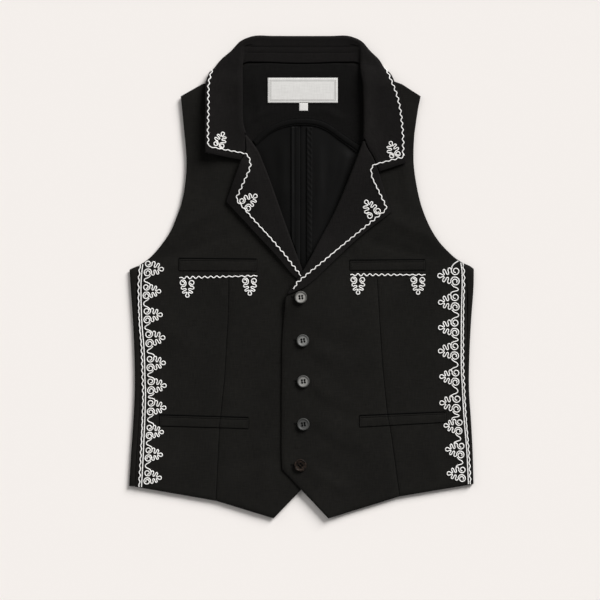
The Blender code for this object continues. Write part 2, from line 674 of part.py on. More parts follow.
def button_mesh():
    """Four-hole button with a raised rim and a dished middle, about its own centre."""
    profile = [(0.0, 0.0), (6.4, 0.0), (8.2, 0.9), (8.75, 1.9), (8.4, 2.7), (7.6, 3.0), (6.6, 2.6), (5.6, 2.2), (0.0, 2.0)]
    steps = 24
    bm = bmesh.new()
    rings = []
    for r, z in profile:
        if r == 0.0:
            rings.append([bm.verts.new((0, 0, z * MM))])
            continue
        ring = []
        for k in range(steps):
            a = 2 * math.pi * k / steps
            ring.append(bm.verts.new((r * math.cos(a) * MM, r * math.sin(a) * MM, z * MM)))
        rings.append(ring)
    for low, high in zip(rings, rings[1:]):
        for k in range(steps):
            m = (k + 1) % steps
            if len(low) == 1:
                bm.faces.new([low[0], high[m], high[k]])
            elif len(high) == 1:
                bm.faces.new([low[k], low[m], high[0]])
            else:
                bm.faces.new([low[k], low[m], high[m], high[k]])
    bmesh.ops.recalc_face_normals(bm, faces=bm.faces)
    mesh = bpy.data.meshes.new("button_blank")
    bm.to_mesh(mesh)
    bm.free()
    blank = bpy.data.objects.new("button_blank", mesh)
    bpy.context.scene.collection.objects.link(blank)
    cut = bmesh.new()
    for dx, dy in ((-1.5, -1.5), (1.5, -1.5), (1.5, 1.5), (-1.5, 1.5)):
        rod = bmesh.ops.create_cone(cut, cap_ends=True, segments=8, radius1=0.85 * MM, radius2=0.85 * MM,
                                    depth=8 * MM)
        bmesh.ops.translate(cut, verts=rod["verts"], vec=(dx * MM, dy * MM, 1.5 * MM))
    cut_mesh = bpy.data.meshes.new("button_cutter")
    cut.to_mesh(cut_mesh)
    cut.free()
    cutter = bpy.data.objects.new("button_cutter", cut_mesh)
    bpy.context.scene.collection.objects.link(cutter)
    holes = blank.modifiers.new("holes", "BOOLEAN")
    holes.operation = "DIFFERENCE"
    holes.solver = "EXACT"
    holes.object = cutter
    bpy.context.view_layer.update()
    graph = bpy.context.evaluated_depsgraph_get()
    done = bpy.data.meshes.new_from_object(blank.evaluated_get(graph))
    bpy.data.objects.remove(blank, do_unlink=True)
    bpy.data.objects.remove(cutter, do_unlink=True)
    return done


# Buttons from the top, as (name, x, y, turn in degrees, tip in degrees about X).
BUTTONS = [("button_1", -0.8, -28.1, 6, 0.0), ("button_2", 2.0, -88.6, 9, 0.0), ("button_3", 2.7, -145.7, 7, 0.0),
           ("button_4", 2.7, -205.7, 8, 0.0), ("button_5", -1.4, -263.1, 45, 0.0)]
blank_mesh = button_mesh()
for name, x, y, turn, tip in BUTTONS:
    mesh = blank_mesh.copy()
    mesh.name = name
    mesh.materials.clear()
    mesh.materials.append(paint("horn", *PAINTS["horn"]))
    high = max(left_floor(x + 9 * math.cos(k), y + 9 * math.sin(k)) for k in range(0, 7))
    slope_y = (left_floor(x, y + 6) - left_floor(x, y - 6)) / 12
    slope_x = (left_floor(x + 6, y) - left_floor(x - 6, y)) / 12
    seat = left_floor(x, y) + CLOTH + GAP + 0.35
    a = math.radians(turn)
    for v in mesh.vertices:
        px = v.co.x / MM
        py = v.co.y / MM
        qx = px * math.cos(a) - py * math.sin(a)
        qy = px * math.sin(a) + py * math.cos(a)
        v.co = ((x + qx) * MM, (y + qy) * MM, v.co.z + (seat + slope_x * qx + slope_y * qy) * MM)
    obj = bpy.data.objects.new(name, mesh)
    bpy.context.scene.collection.objects.link(obj)


def label_floor(x, y):
    return lining_floor(x, y) + FACING_CLOTH + GAP


label_grid = [[(lerp(-47.2, 50.8, k / 8), lerp(243.7, 278.6, t / 3)) for k in range(9)] for t in range(4)]
laid("neck_label", label_grid, label_floor, 1.0, "label_satin")
tab_grid = [[(lerp(-3.1, 9.0, k / 2), lerp(232.6, 243.3, t)) for k in range(3)] for t in range(2)]
laid("size_tab", tab_grid, label_floor, 1.0, "label_satin")
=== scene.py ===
import math

import bmesh
import bpy
import numpy as np
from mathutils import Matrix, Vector
from mathutils.bvhtree import BVHTree
from mathutils.noise import noise


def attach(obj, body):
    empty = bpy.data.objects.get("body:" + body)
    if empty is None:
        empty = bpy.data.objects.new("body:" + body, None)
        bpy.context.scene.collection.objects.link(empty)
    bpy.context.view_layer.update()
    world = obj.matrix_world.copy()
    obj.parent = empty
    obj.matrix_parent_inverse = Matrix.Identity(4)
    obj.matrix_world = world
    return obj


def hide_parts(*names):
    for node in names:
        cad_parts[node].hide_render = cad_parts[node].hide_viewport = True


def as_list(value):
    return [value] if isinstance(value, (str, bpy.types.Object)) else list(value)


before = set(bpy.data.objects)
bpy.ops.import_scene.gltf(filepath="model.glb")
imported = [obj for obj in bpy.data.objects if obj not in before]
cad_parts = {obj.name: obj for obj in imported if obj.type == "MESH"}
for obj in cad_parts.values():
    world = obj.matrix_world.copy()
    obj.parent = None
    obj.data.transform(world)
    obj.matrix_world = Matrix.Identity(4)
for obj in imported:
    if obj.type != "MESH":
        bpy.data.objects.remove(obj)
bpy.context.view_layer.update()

# The waistcoat lies on its back with its collar towards +Y and the wearer's left on +X.
# The tables are in mm in the frame of the part's source; placed() turns them into metres here.

MM = 0.001
SHIFT_Y = 0.35

# Thickness and height of the layers, as in the solids.
CLOTH = 1.6
BACK_CLOTH = 1.6
LINING_CLOTH = 1.0
FACING_CLOTH = 1.0
ROLLED_CLOTH = 1.4
LINING_FLOOR = 2.0
FRONT_FLOOR = 3.5
ROLL_RISE = 1.7
LIMB_MID = 4.15
LAPEL_MID = 8.1
ROLL_RADIUS = 0.5 * (LAPEL_MID - LIMB_MID)
ROLL_REACH = 0.5 * ROLLED_CLOTH + ROLL_RADIUS
FOLD_RADIUS = 2.6
LIMB = 14.0
GAP = 0.3
DART_HALF = 1.6
DART_TOP = 4
BIND_LIFT = 1.5

# Embroidery, in mm: the motif's coils stand COIL_OUT from the border; its tables are drawn with the coils
# DRAWN_APART from its middle and the next motif DRAWN_LINK away.
CORD_RADIUS = 0.78
WAVE_PERIOD = 9.4
WAVE_HEIGHT = 0.85
EDGE_PERIOD = 8.8
COIL_OUT = 7.0
DRAWN_APART = 6.2
DRAWN_LINK = 33.0
LIFT = 0.62 * CORD_RADIUS


def placed(p):
    return (p[0] * MM, (p[1] + SHIFT_Y) * MM, p[2] * MM)


def lerp(a, b, t):
    return a + (b - a) * t


def ramp(t):
    t = min(1.0, max(0.0, t))
    return t * t * (3.0 - 2.0 * t)


def soft_curve(p, q, leave, arrive, t):
    """Point at t on the curve from p to q that has these slopes at its ends."""
    a = 2 * p - 2 * q + leave + arrive
    b = 3 * q - 3 * p - 2 * leave - arrive
    return ((a * t + b) * t + leave) * t + p


def along(keys, counts, smooth=True):
    """Points through the keys, each span cut into its count, on a soft curve or straight."""
    points = [tuple(keys[0])]
    last = len(keys) - 1
    for k, count in enumerate(counts):
        four = list(zip(keys[max(0, k - 1)], keys[k], keys[k + 1], keys[min(last, k + 2)]))
        for i in range(1, count + 1):
            t = i / count
            if smooth:
                points.append(tuple(soft_curve(b, c, 0.5 * (c - a), 0.5 * (d - b), t) for a, b, c, d in four))
            else:
                points.append(tuple(lerp(b, c, t) for a, b, c, d in four))
    return points


def run_of(p):
    """Distance along a line up to each of its points."""
    return np.concatenate([[0.0], np.cumsum(np.linalg.norm(p[1:] - p[:-1], axis=1))])


def unit(v):
    return v / np.maximum(np.linalg.norm(v, axis=-1, keepdims=True), 1e-12)


def across(y, table):
    """x at this y in a table of (y, x) rows that rises in y."""
    if y <= table[0][0]:
        return table[0][1]
    for (y0, x0), (y1, x1) in zip(table, table[1:]):
        if y <= y1:
            return lerp(x0, x1, (y - y0) / (y1 - y0))
    return table[-1][1]


def patch(bottom, top, left, right):
    """Grid between four edge lines: rows run from bottom to top, columns from left to right."""
    rows = len(left)
    cols = len(bottom)
    grid = []
    for i in range(rows):
        v = i / (rows - 1)
        line = []
        for j in range(cols):
            u = j / (cols - 1)
            spot = []
            for c in range(2):
                ruled_v = lerp(bottom[j][c], top[j][c], v)
                ruled_u = lerp(left[i][c], right[i][c], u)
                low = lerp(bottom[0][c], bottom[-1][c], u)
                high = lerp(top[0][c], top[-1][c], u)
                spot.append(ruled_v + ruled_u - lerp(low, high, v))
            line.append(tuple(spot))
        grid.append(line)
    return grid


def away_from(line, x, y):
    """Distance from a point to an open line."""
    best = 1e9
    for (x0, y0), (x1, y1) in zip(line, line[1:]):
        dx = x1 - x0
        dy = y1 - y0
        t = ((x - x0) * dx + (y - y0) * dy) / (dx * dx + dy * dy)
        t = min(1.0, max(0.0, t))
        best = min(best, math.hypot(x - x0 - t * dx, y - y0 - t * dy))
    return best


def sideways(line, sign):
    """Unit vectors square to the line at each of its points."""
    out = []
    for i in range(len(line)):
        a = line[max(0, i - 1)]
        b = line[min(len(line) - 1, i + 1)]
        dx = b[0] - a[0]
        dy = b[1] - a[1]
        size = math.hypot(dx, dy)
        out.append((-dy / size * sign, dx / size * sign))
    return out


def finer(line, count, edge, turn, hard=()):
    """A line with each span cut into count, on soft curves. It stays sharp where it turns more than
    turn degrees, and at the points numbered in hard. edge is the width of a narrow first and last cut."""
    p = np.array(line, float)
    step = p[1:] - p[:-1]
    size = np.maximum(np.linalg.norm(step, axis=1), 1e-9)
    slope = step / size[:, None]
    leave = slope.copy()
    arrive = slope.copy()
    limit = math.cos(math.radians(turn))
    for k in range(1, len(p) - 1):
        if k in hard or slope[k - 1] @ slope[k] < limit:
            continue
        soft = (size[k] * slope[k - 1] + size[k - 1] * slope[k]) / (size[k] + size[k - 1])
        arrive[k - 1] = soft
        leave[k] = soft
    out = [p[0]]
    last = len(step) - 1
    for k in range(last + 1):
        cuts = [i / count for i in range(1, count + 1)]
        near = min(0.5 / count, edge / size[k])
        if edge and k == 0:
            cuts.insert(0, near)
        if edge and k == last:
            cuts.insert(-1, 1.0 - near)
        t = np.array(cuts)[:, None]
        out += list(soft_curve(p[k], p[k + 1], leave[k] * size[k], arrive[k] * size[k], t))
    return out


def refined(grid, down, over, turn=24.0, edge=0.7, hard=()):
    """The same sheet with every cell cut finer, and a narrow row and column along its rim."""
    once = [finer(line, over, edge, turn, hard) for line in grid]
    columns = [finer([line[j] for line in once], down, edge, turn) for j in range(len(once[0]))]
    return [[tuple(column[i]) for column in columns] for i in range(len(columns[0]))]


def flat_size(grid):
    """Pattern coordinates of a sheet in mm: along each row, and up the sheet."""
    rows = len(grid)
    cols = len(grid[0])
    p = np.array(grid, float)
    over = np.zeros((rows, cols))
    up = np.zeros((rows, cols))
    over[:, 1:] = np.cumsum(np.linalg.norm(p[:, 1:] - p[:, :-1], axis=2), axis=1)
    up[1:] = np.cumsum(np.linalg.norm(p[1:] - p[:-1], axis=2), axis=0)
    middle = up.mean(axis=1, keepdims=True)
    return np.stack([over, np.broadcast_to(middle, over.shape)], axis=2)


def wall(node, upper, lower, flat, finish, keep=None):
    """A closed cloth between two matching grids, in place of the solid called node.
    Its pattern coordinates in metres are its UV map. keep(i, j) leaves out cells of the grids."""
    name = node + "_cloth"
    rows = len(upper)
    cols = len(upper[0])
    spots = [placed(p) for line in upper for p in line] + [placed(p) for line in lower for p in line]
    under = rows * cols
    quads = []
    for i in range(rows - 1):
        for j in range(cols - 1):
            if keep is None or keep(i, j):
                a = i * cols + j
                quads.append((a, a + 1, a + cols + 1, a + cols))
    edges = {(a, b) for quad in quads for a, b in zip(quad, quad[1:] + quad[:1])}
    faces = list(quads)
    faces += [tuple(under + k for k in reversed(quad)) for quad in quads]
    faces += [(b, a, under + a, under + b) for a, b in edges if (b, a) not in edges]
    mesh = bpy.data.meshes.new(name)
    mesh.from_pydata(spots, [], faces)
    chart = mesh.uv_layers.new(name="UVMap")
    cut = np.array(flat, float).reshape(-1, 2) * MM
    cut = np.concatenate([cut, cut])
    order = np.zeros(len(mesh.loops), np.int32)
    mesh.loops.foreach_get("vertex_index", order)
    chart.data.foreach_set("uv", cut[order].ravel())
    bm = bmesh.new()
    bm.from_mesh(mesh)
    bmesh.ops.delete(bm, geom=[v for v in bm.verts if not v.link_faces], context="VERTS")
    if bm.calc_volume(signed=True) < 0:
        bmesh.ops.reverse_faces(bm, faces=bm.faces)
    bm.to_mesh(mesh)
    bm.free()
    mesh.shade_smooth()
    mesh.materials.append(finish)
    piece = bpy.data.objects.new(name, mesh)
    bpy.context.scene.collection.objects.link(piece)
    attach(piece, "root")
    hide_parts(node)
    return piece


def rim(i, j, rows, cols):
    """How far the two faces of a cloth draw together at this grid point: fully at its folded rim."""
    if i in (0, rows - 1) or j in (0, cols - 1):
        return 0.42
    if i in (1, rows - 2) or j in (1, cols - 2):
        return 0.9
    return 1.0


def laid_wall(node, grid, floor, thick, relief, finish):
    """A panel that lies flat, its face raised or sunk by relief(x, y)."""
    rows = len(grid)
    cols = len(grid[0])
    upper = []
    lower = []
    for i, line in enumerate(grid):
        top = []
        base = []
        for j, (x, y) in enumerate(line):
            z = floor(x, y)
            face = z + thick + relief(x, y)
            middle = 0.5 * (z + face)
            half = 0.5 * (face - z) * rim(i, j, rows, cols)
            top.append((x, y, middle + half))
            base.append((x, y, middle - half))
        upper.append(top)
        lower.append(base)
    return wall(node, upper, lower, grid, finish)


def normals_of(grid):
    p = np.array(grid, float)
    du = np.gradient(p, axis=1)
    dv = np.gradient(p, axis=0)
    return unit(np.cross(du, dv))


def folded_wall(node, grid, relief, chart):
    """A cloth that folds over, thickened square to itself; relief(i, j, point) moves its outer face."""
    rows = len(grid)
    cols = len(grid[0])
    p = np.array(grid, float)
    n = normals_of(grid)
    squeeze = np.array([[rim(i, j, rows, cols) for j in range(cols)] for i in range(rows)])
    raised = np.array([[relief(i, j, p[i, j]) for j in range(cols)] for i in range(rows)])
    half = 0.5 * ROLLED_CLOTH * squeeze
    upper = p + n * (half + raised * squeeze)[:, :, None]
    lower = p - n * half[:, :, None]
    return wall(node, upper.tolist(), lower.tolist(), chart, COLLAR_CLOTH)


# Roll lines from the button break up to the gorge seam, then up the collar, as (x, y).
ROLL_RIGHT = [(18, -24), (0, 14), (-27, 88), (-43, 133), (-61, 177), (-70, 190), (-77, 199)]
ROLL_LEFT = [(-20, -23), (4, 12), (26, 53), (46, 91), (64, 133), (78, 169), (86, 190)]
NECK_RIGHT = [(-77, 199), (-81, 212), (-82, 228), (-82.4, 258), (-88, 287)]
NECK_LEFT = [(86, 190), (86.5, 212), (86.5, 228), (86.4, 258), (91.5, 287)]
WHOLE_RIGHT = ROLL_RIGHT + NECK_RIGHT[1:]
WHOLE_LEFT = ROLL_LEFT + NECK_LEFT[1:]
# The same two lines as (y, x).
TURNED_RIGHT = [(y, x) for x, y in WHOLE_RIGHT]
TURNED_LEFT = [(y, x) for x, y in WHOLE_LEFT]


def neck_rise(x, y):
    """The back lifts over the collar fall folded under it."""
    return 2.1 * ramp((y - 232) / 50) * ramp((154 - abs(x)) / 46)


def lining_floor(x, y):
    return LINING_FLOOR + neck_rise(x, y)


def lap_rise(x, y):
    """How far the wearer's left front lifts to pass over the right front and its lapel."""
    lap = 2.2 * ramp((72 - x) / 44) * ramp((76 - y) / 66)
    crossing = 3.2 * ramp((80 - math.hypot(x - 4, y + 4)) / 54)
    return lap + crossing


def roll_rise(line, x, y):
    return ROLL_RISE * ramp((30 - away_from(line, x, y)) / 12) * ramp((268 - y) / 9)


def right_floor(x, y):
    return FRONT_FLOOR + neck_rise(x, y) + roll_rise(WHOLE_RIGHT, x, y)


def left_floor(x, y):
    return FRONT_FLOOR + neck_rise(x, y) + roll_rise(WHOLE_LEFT, x, y) + lap_rise(x, y)


# Outer fold of each side, as (y, x) from hem to underarm.
FOLD_RIGHT = [(-291, -241.6), (-270, -240.6), (-245, -238.6), (-220, -236.6), (-190, -234.9),
              (-165, -233.6), (-120, -233.6), (-85, -234.9), (-52, -236.6), (-18, -239.2), (9, -240.9)]
FOLD_LEFT = [(-291, 241.2), (-270, 241.2), (-245, 239.9), (-220, 239.6), (-190, 236.6),
             (-165, 234.8), (-120, 235.2), (-85, 236.2), (-52, 238.4), (-18, 241.2), (9, 241.6)]
# Side seam on the front face, as (y, x).
SEAM_RIGHT = [(-292, -233.4), (-242, -230.6), (-200, -227.8), (-158, -226.0), (-102, -226.2),
              (-60, -229.0), (-11, -231.2), (15.5, -228.3)]
SEAM_LEFT = [(-292, 237.4), (-245, 235.6), (-195, 232.6), (-151, 231.0), (-122, 231.2),
             (-56, 232.2), (-11, 231.0), (20, 225.0)]
ARM_RIGHT = [(-228.3, 15.5), (-214.6, 24.9), (-206.5, 32.5), (-193, 49), (-182, 66), (-175, 83),
             (-169, 99.5), (-165, 116), (-161.8, 141), (-161, 167), (-163.8, 200), (-169, 253)]
ARM_LEFT = [(225.0, 20), (213.5, 28), (206, 35), (193, 49), (182, 66), (174, 83),
            (168, 99.5), (163.5, 117), (158.2, 148), (157, 176), (160, 217), (167, 253)]
SHOULDER_RIGHT = [(-169, 253), (-140, 269.5), (-87, 289)]
SHOULDER_LEFT = [(167, 253.5), (141, 270), (90, 291)]
# Dart lines as (y, x), from the hem to the breast pocket.
DART_RIGHT = [(-312, -119.7), (-214, -114.9), (-180, -111.7), (-144, -107.8), (-60, -102.8), (-2, -101.5)]
DART_LEFT = [(-307.4, 137.6), (-224, 126.3), (-185, 119.7), (-122, 113.4), (-62, 109.6), (-4, 106.3)]
SIDE_Y = (-291, -242, -200, -158, -102, -60, -11, 9)
BUTTON_SPOTS = [(-0.8, -28.1), (2.0, -88.6), (2.7, -145.7), (2.7, -205.7), (-1.4, -263.1)]

# Creases, given as (x, y) to (x, y), half width, height. Minus is a trough.
CREASE_GAIN = 3.0
CREASES_RIGHT = [((-150, 118), (-147, 214), 12, -0.6), ((-196, 40), (-120, 96), 9, 0.5),
                 ((-182, 30), (-96, 60), 7, -0.34),
                 ((-216, -60), (-150, -96), 12, 0.42), ((-40, -120), (-96, -150), 11, -0.3),
                 ((-60, -40), (-92, -128), 13, 0.36), ((-150, 130), (-140, 216), 8, 0.55),
                 ((-140, 120), (-122, 190), 9, -0.35), ((-58, -232), (-44, -318), 12, 0.42),
                 ((-176, -232), (-190, -286), 13, 0.4), ((-40, -250), (-112, -268), 9, -0.28)]
CREASES_LEFT = [((16, -60), (84, -74), 8, 0.3), ((16, -118), (90, -138), 9, -0.36),
                ((16, -168), (70, -196), 8, -0.34), ((196, 44), (122, 84), 10, 0.5),
                ((186, 28), (92, 46), 8, -0.32),
                ((14, -96), (74, -132), 8, 0.42), ((14, -86), (88, -104), 7, -0.36),
                ((14, -150), (66, -182), 8, 0.4), ((12, -202), (62, -236), 8, 0.42),
                ((14, -212), (84, -262), 9, -0.34), ((12, -266), (64, -300), 8, 0.44),
                ((150, 120), (136, 196), 9, 0.55), ((128, 96), (112, 60), 10, 0.4),
                ((212, -70), (160, -120), 12, 0.4), ((176, -240), (196, -282), 12, 0.38)]


def creased(table, x, y):
    """Height of the soft folds at this point, each fading at its ends and uneven along its length."""
    total = 0.0
    for k, ((x0, y0), (x1, y1), width, height) in enumerate(table):
        dx, dy = x1 - x0, y1 - y0
        size = math.hypot(dx, dy)
        t = ((x - x0) * dx + (y - y0) * dy) / (size * size)
        if t < -0.3 or t > 1.3:
            continue
        bend = 5.0 * noise(Vector((t * 1.7, k * 3.1, 0.4)))
        off = ((x - x0) * dy - (y - y0) * dx) / size + bend
        fade = ramp((t + 0.3) / 0.5) * ramp((1.3 - t) / 0.6)
        total += CREASE_GAIN * height * fade * math.exp(-(off / width) ** 2)
    return total


def puckers(x, y):
    """Small dimples that each fastened button draws in the cloth round it."""
    total = 0.0
    for k, (bx, by) in enumerate(BUTTON_SPOTS):
        d = math.hypot(x - bx, y - by)
        if d < 40:
            turn = math.atan2(y - by, x - bx)
            rays = math.sin(3 * turn + k * 1.3) * ramp((d - 7) / 8) * ramp((40 - d) / 26)
            total += 0.26 * rays - 0.3 * ramp((17 - d) / 9) * ramp((d - 4) / 5)
    return total


def dart_groove(table, x, y):
    """A sewn dart: a fine groove between two soft ridges, up to its point at DART_TOP."""
    off = x - across(y, table)
    if y > DART_TOP or abs(off) > 14:
        return 0.0
    fade = ramp((DART_TOP - y) / 14)
    return fade * (0.24 * math.exp(-((abs(off) - 3.2) / 2.6) ** 2) - 0.45 * math.exp(-(off / 1.0) ** 2))


def slow_swell(x, y, seed, height):
    """Wide uneven rise and fall of cloth that lies on other layers."""
    a = noise(Vector((x / 70.0, y / 90.0, seed)))
    b = noise(Vector((x / 26.0, y / 34.0, seed + 4.7)))
    return height * (0.75 * a + 0.4 * b)


def right_relief(x, y):
    calm = ramp((away_from(WHOLE_RIGHT, x, y) - 16) / 20)
    return (calm * (creased(CREASES_RIGHT, x, y) + slow_swell(x, y, 1.3, 0.6))
            + dart_groove(DART_RIGHT, x, y))


def left_relief(x, y):
    calm = ramp((away_from(WHOLE_LEFT, x, y) - 16) / 20)
    calm *= ramp((min(math.hypot(x - bx, y - by) for bx, by in BUTTON_SPOTS) - 8) / 10)
    return (calm * (creased(CREASES_LEFT, x, y) + slow_swell(x, y, 7.9, 0.6)) + puckers(x, y)
            + dart_groove(DART_LEFT, x, y))


def right_top(x, y):
    return right_floor(x, y) + CLOTH + right_relief(x, y)


def left_top(x, y):
    return left_floor(x, y) + CLOTH + left_relief(x, y)


def front_grid(seam, arm, shoulder, hem_keys, edge, roll, sign, dart, dart_column):
    """One front in plan: side seam and armhole on one side, front edge and roll line on the other."""
    seam_line = [hem_keys[0]] + [(across(y, seam), y) for y in SIDE_Y[1:-1]] + [arm[0]]
    side = along(seam_line, [2, 1, 2, 2, 1, 2, 1], smooth=False)
    outer = side + along(arm, [1] * 7 + [2, 2, 2, 3])[1:]
    line = along(roll, [2, 3, 2, 2, 1, 1, 1, 1, 2, 2])
    rolled = [(p[0] + n[0] * 3.3, p[1] + n[1] * 3.3) for p, n in zip(line, sideways(line, sign))]
    inner = along(edge, [3, 1, 2, 2, 1], smooth=False) + rolled
    hem = along(hem_keys, [dart_column, 13 - dart_column], smooth=False)
    top = along([shoulder[0], shoulder[1], inner[-1]], [7, 6], smooth=False)
    grid = patch(hem, top, outer, inner)
    for line in grid:
        y = line[dart_column][1]
        was = line[dart_column][0]
        want = lerp(was, across(y, dart), ramp((30 - y) / 60))
        first = line[0][0]
        last = line[-1][0]
        for j in range(1, len(line) - 1):
            x = line[j][0]
            if j <= dart_column:
                x = lerp(first, want, (x - first) / (was - first))
            else:
                x = lerp(want, last, (x - was) / (last - was))
            line[j] = (x, line[j][1])
        here = line[dart_column]
        for j in (dart_column - 1, dart_column + 1):
            t = DART_HALF / abs(line[j][0] - here[0])
            line[j] = (lerp(here[0], line[j][0], t), lerp(here[1], line[j][1], t))
    return grid


def back_grid(fold, arm, seam_table, sign, hem_y):
    """Middle sheet of half the outer back, with the strip that turns round the side to the side seam."""
    centre = [(0.15 * sign, y) for y in (-290, -250, -205, -160, -110, -60, -15, 10, 60, 110, 160, 210,
                                         250, 268, 284, 298.6)]
    side_y = (hem_y,) + SIDE_Y[1:]
    edge = [(across(y, fold) - sign * FOLD_RADIUS, y) for y in side_y]
    arm_in = [(p[0] - sign * 0.8, p[1] - 0.8) for p in arm]
    up_arm = along([edge[-1], arm_in[1], arm_in[3], arm_in[5], arm_in[7], arm_in[9], arm_in[11]],
                   [1, 1, 1, 1, 2, 2])
    outer = edge + up_arm[1:]
    hem = [(lerp(centre[0][0], edge[0][0], j / 8), lerp(-290, hem_y, j / 8)) for j in range(9)]
    neck = [(44 * sign, 299.7), (78 * sign, 299.2), (94 * sign, 286.5), (137 * sign, 269.6)]
    top = along([centre[-1]] + neck + [outer[-1]], [2, 2, 1, 2, 1], smooth=False)
    grid = patch(hem, top, centre, outer)
    half = 0.5 * BACK_CLOTH
    mid_high = FRONT_FLOOR + CLOTH - half
    radius = 0.5 * (mid_high - half)
    points = []
    last = len(SIDE_Y) - 1
    for i, line in enumerate(grid):
        row = [(x, y, neck_rise(x, y) + half) for x, y in line]
        y = side_y[min(i, last)]
        middle = across(y, fold) - sign * (half + radius)
        rise = (arm[0][1] - 9.0) if i == last else 0.0
        for k, degrees in enumerate((-45, 0, 45, 90)):
            a = math.radians(degrees)
            row.append((middle + sign * radius * math.cos(a), y + 0.12 * rise * k,
                        half + radius + radius * math.sin(a)))
        x_seam = across(y, seam_table) + sign * GAP
        if i == last:
            x_seam = arm[0][0] + sign * GAP
        row.append((x_seam, y + rise, mid_high))
        points.append(row)
    return points


# Arched seam between the back neck facing and the lining, as (x, y), from the wearer's right.
ARCH = [(-159, 158), (-125, 158), (-98, 159), (-80, 168), (-65.5, 185.5), (-50, 201), (-27, 214.5),
        (-2, 218), (23, 215.5), (48, 203.5), (64, 190), (80.5, 178.3), (98, 162), (125, 158), (155.5, 158)]
LINING_SEAM_X = -1.4
BIND_TOP = [(-68.3, 190.5), (-60, 199.8), (-51, 207.3), (-39, 214.4), (-27, 219.3), (-14, 222.2),
            (-1, 223.3), (14, 222.6), (29, 219.6), (43, 212.4), (56, 202.9), (69, 194), (83.5, 186)]
BIND_LOW = [(-63.6, 183.4), (-55, 191.6), (-46, 199.2), (-35.5, 205.2), (-24.5, 209.4), (-12.5, 211.9),
            (-0.5, 212.7), (12.5, 212.2), (25.5, 209.4), (38.5, 203), (51, 193.8), (64, 184.4), (77.8, 173)]


def lining_grid(fold, arm, arch, sign):
    centre = [(LINING_SEAM_X + sign * 0.5 * GAP, y)
              for y in (-283, -230, -170, -110, -60, -15, 10, 50, 95, 135, 160, 190, 217.7)]
    side = [(across(y, fold) - sign * 5.2, y) for y in (-284, -230, -170, -110, -60, -15)]
    arm_in = [(p[0] - sign * 1.6, p[1] - 1.6) for p in arm]
    outer = side + [(across(1.0, fold) - sign * 9.0, 1.0)]
    outer += [arm_in[1], arm_in[3], arm_in[5], arm_in[7], (arm_in[8][0], 141), arch[-1]]
    top = [(x, y - 0.5 * GAP) for x, y in arch]
    top[0] = centre[-1]
    last = len(top) - 1
    hem = [(lerp(centre[0][0], side[0][0], j / last), -283.5) for j in range(last + 1)]
    hem[0] = centre[0]
    hem[-1] = side[0]
    return patch(hem, top, centre, outer)


# Soft upright folds of the lining in the neck opening: x at the top, x at the break, width, height.
LINING_FOLDS = [(-58, -26, 8.0, 1.4), (-30, -15, 4.6, 2.0), (-43, -20, 4.0, -0.4), (29, 12, 4.8, 1.9),
                (43, 18, 5.0, -0.3), (52, 22, 4.5, 0.7), (72, 33, 11.0, 3.4)]


def lining_relief(x, y):
    """Deep soft folds where the neck opening leaves the lining free, flat where other cloth lies on it."""
    total = slow_swell(x, y, 3.3, 0.2)
    free = min(away_from(WHOLE_RIGHT, x, y), away_from(WHOLE_LEFT, x, y), away_from(BIND_LOW, x, y))
    inside = across(y, TURNED_RIGHT) < x < across(y, TURNED_LEFT)
    room = ramp((free - 1.0) / 13) if inside and -20 < y < 214 else 0.0
    room *= ramp((206 - y) / 60) * max(ramp((-18 - x) / 6), ramp((x - 18) / 6))
    if room > 0:
        t = (y + 20) / 240
        for top_x, low_x, width, height in LINING_FOLDS:
            middle = lerp(low_x, top_x, t) + 2.5 * math.sin(y / 31 + top_x)
            total += room * height * math.exp(-((x - middle) / width) ** 2)
    seam = math.exp(-((x - LINING_SEAM_X) / 1.2) ** 2)
    return max(-0.55, min(0.35 + 3.2 * room, total)) - 0.45 * seam


def fold_points(spot, n):
    """Middle sheet of a roll: from under it, round its edge at spot, to on top of it."""
    out = []
    for degrees in (-90, -45, 0, 45, 90):
        a = math.radians(degrees)
        reach = ROLL_REACH - ROLL_RADIUS * math.cos(a)
        out.append((spot[0] + n[0] * reach, spot[1] + n[1] * reach,
                    LIMB_MID + ROLL_RADIUS + ROLL_RADIUS * math.sin(a)))
    return out


def lapel_grid(roll, low_edge, tip_edge, gorge, sign, rise, curl):
    """Middle sheet of the facing that turns over the front along the roll line."""
    line = along(roll, [2, 3, 2, 2, 1, 1])
    normals = sideways(line, sign)
    rows = len(line)
    inner = [(p[0] + n[0] * ROLL_REACH, p[1] + n[1] * ROLL_REACH) for p, n in zip(line, normals)]
    cols = 7
    outer = along(tip_edge, [(rows - 1) // 2, rows - 1 - (rows - 1) // 2])
    bottom = along([inner[0]] + low_edge + [tip_edge[0]], [2, 1, 1, 1, 1])
    top = along([inner[-1]] + gorge + [tip_edge[-1]], [2, 2, 2])
    flat = patch(bottom, top, inner, outer)
    grid = []
    for i, (p, n) in enumerate(zip(line, normals)):
        narrow = min(1.0, 0.35 + 0.2 * i)
        far = (p[0] + n[0] * LIMB * narrow, p[1] + n[1] * LIMB * narrow)
        row = [(far[0], far[1], LIMB_MID + rise(far[0], far[1]))]
        row += [(x, y, z + rise(x, y)) for x, y, z in fold_points(p, n)]
        for j in range(1, cols):
            x, y = flat[i][j]
            row.append((x, y, LAPEL_MID + rise(x, y) + curl(j / (cols - 1), i / (rows - 1))))
        grid.append(row)
    return grid


def side_row(roll_at, n, end, limb, lift):
    """Collar section where it lies on the shoulder: under limb, roll, then out to the edge."""
    folds = fold_points(roll_at, n)
    reach = ROLL_REACH + limb
    row = [(roll_at[0] + n[0] * reach, roll_at[1] + n[1] * reach, LIMB_MID)] + folds
    start = folds[-1]
    for t in (0.2, 0.4, 0.6, 0.76, 0.89, 1.0):
        row.append((lerp(start[0], end[0], t), lerp(start[1], end[1], t), LAPEL_MID + lift * t * t))
    return [(x, y, z + neck_rise(x, y)) for x, y, z in row]


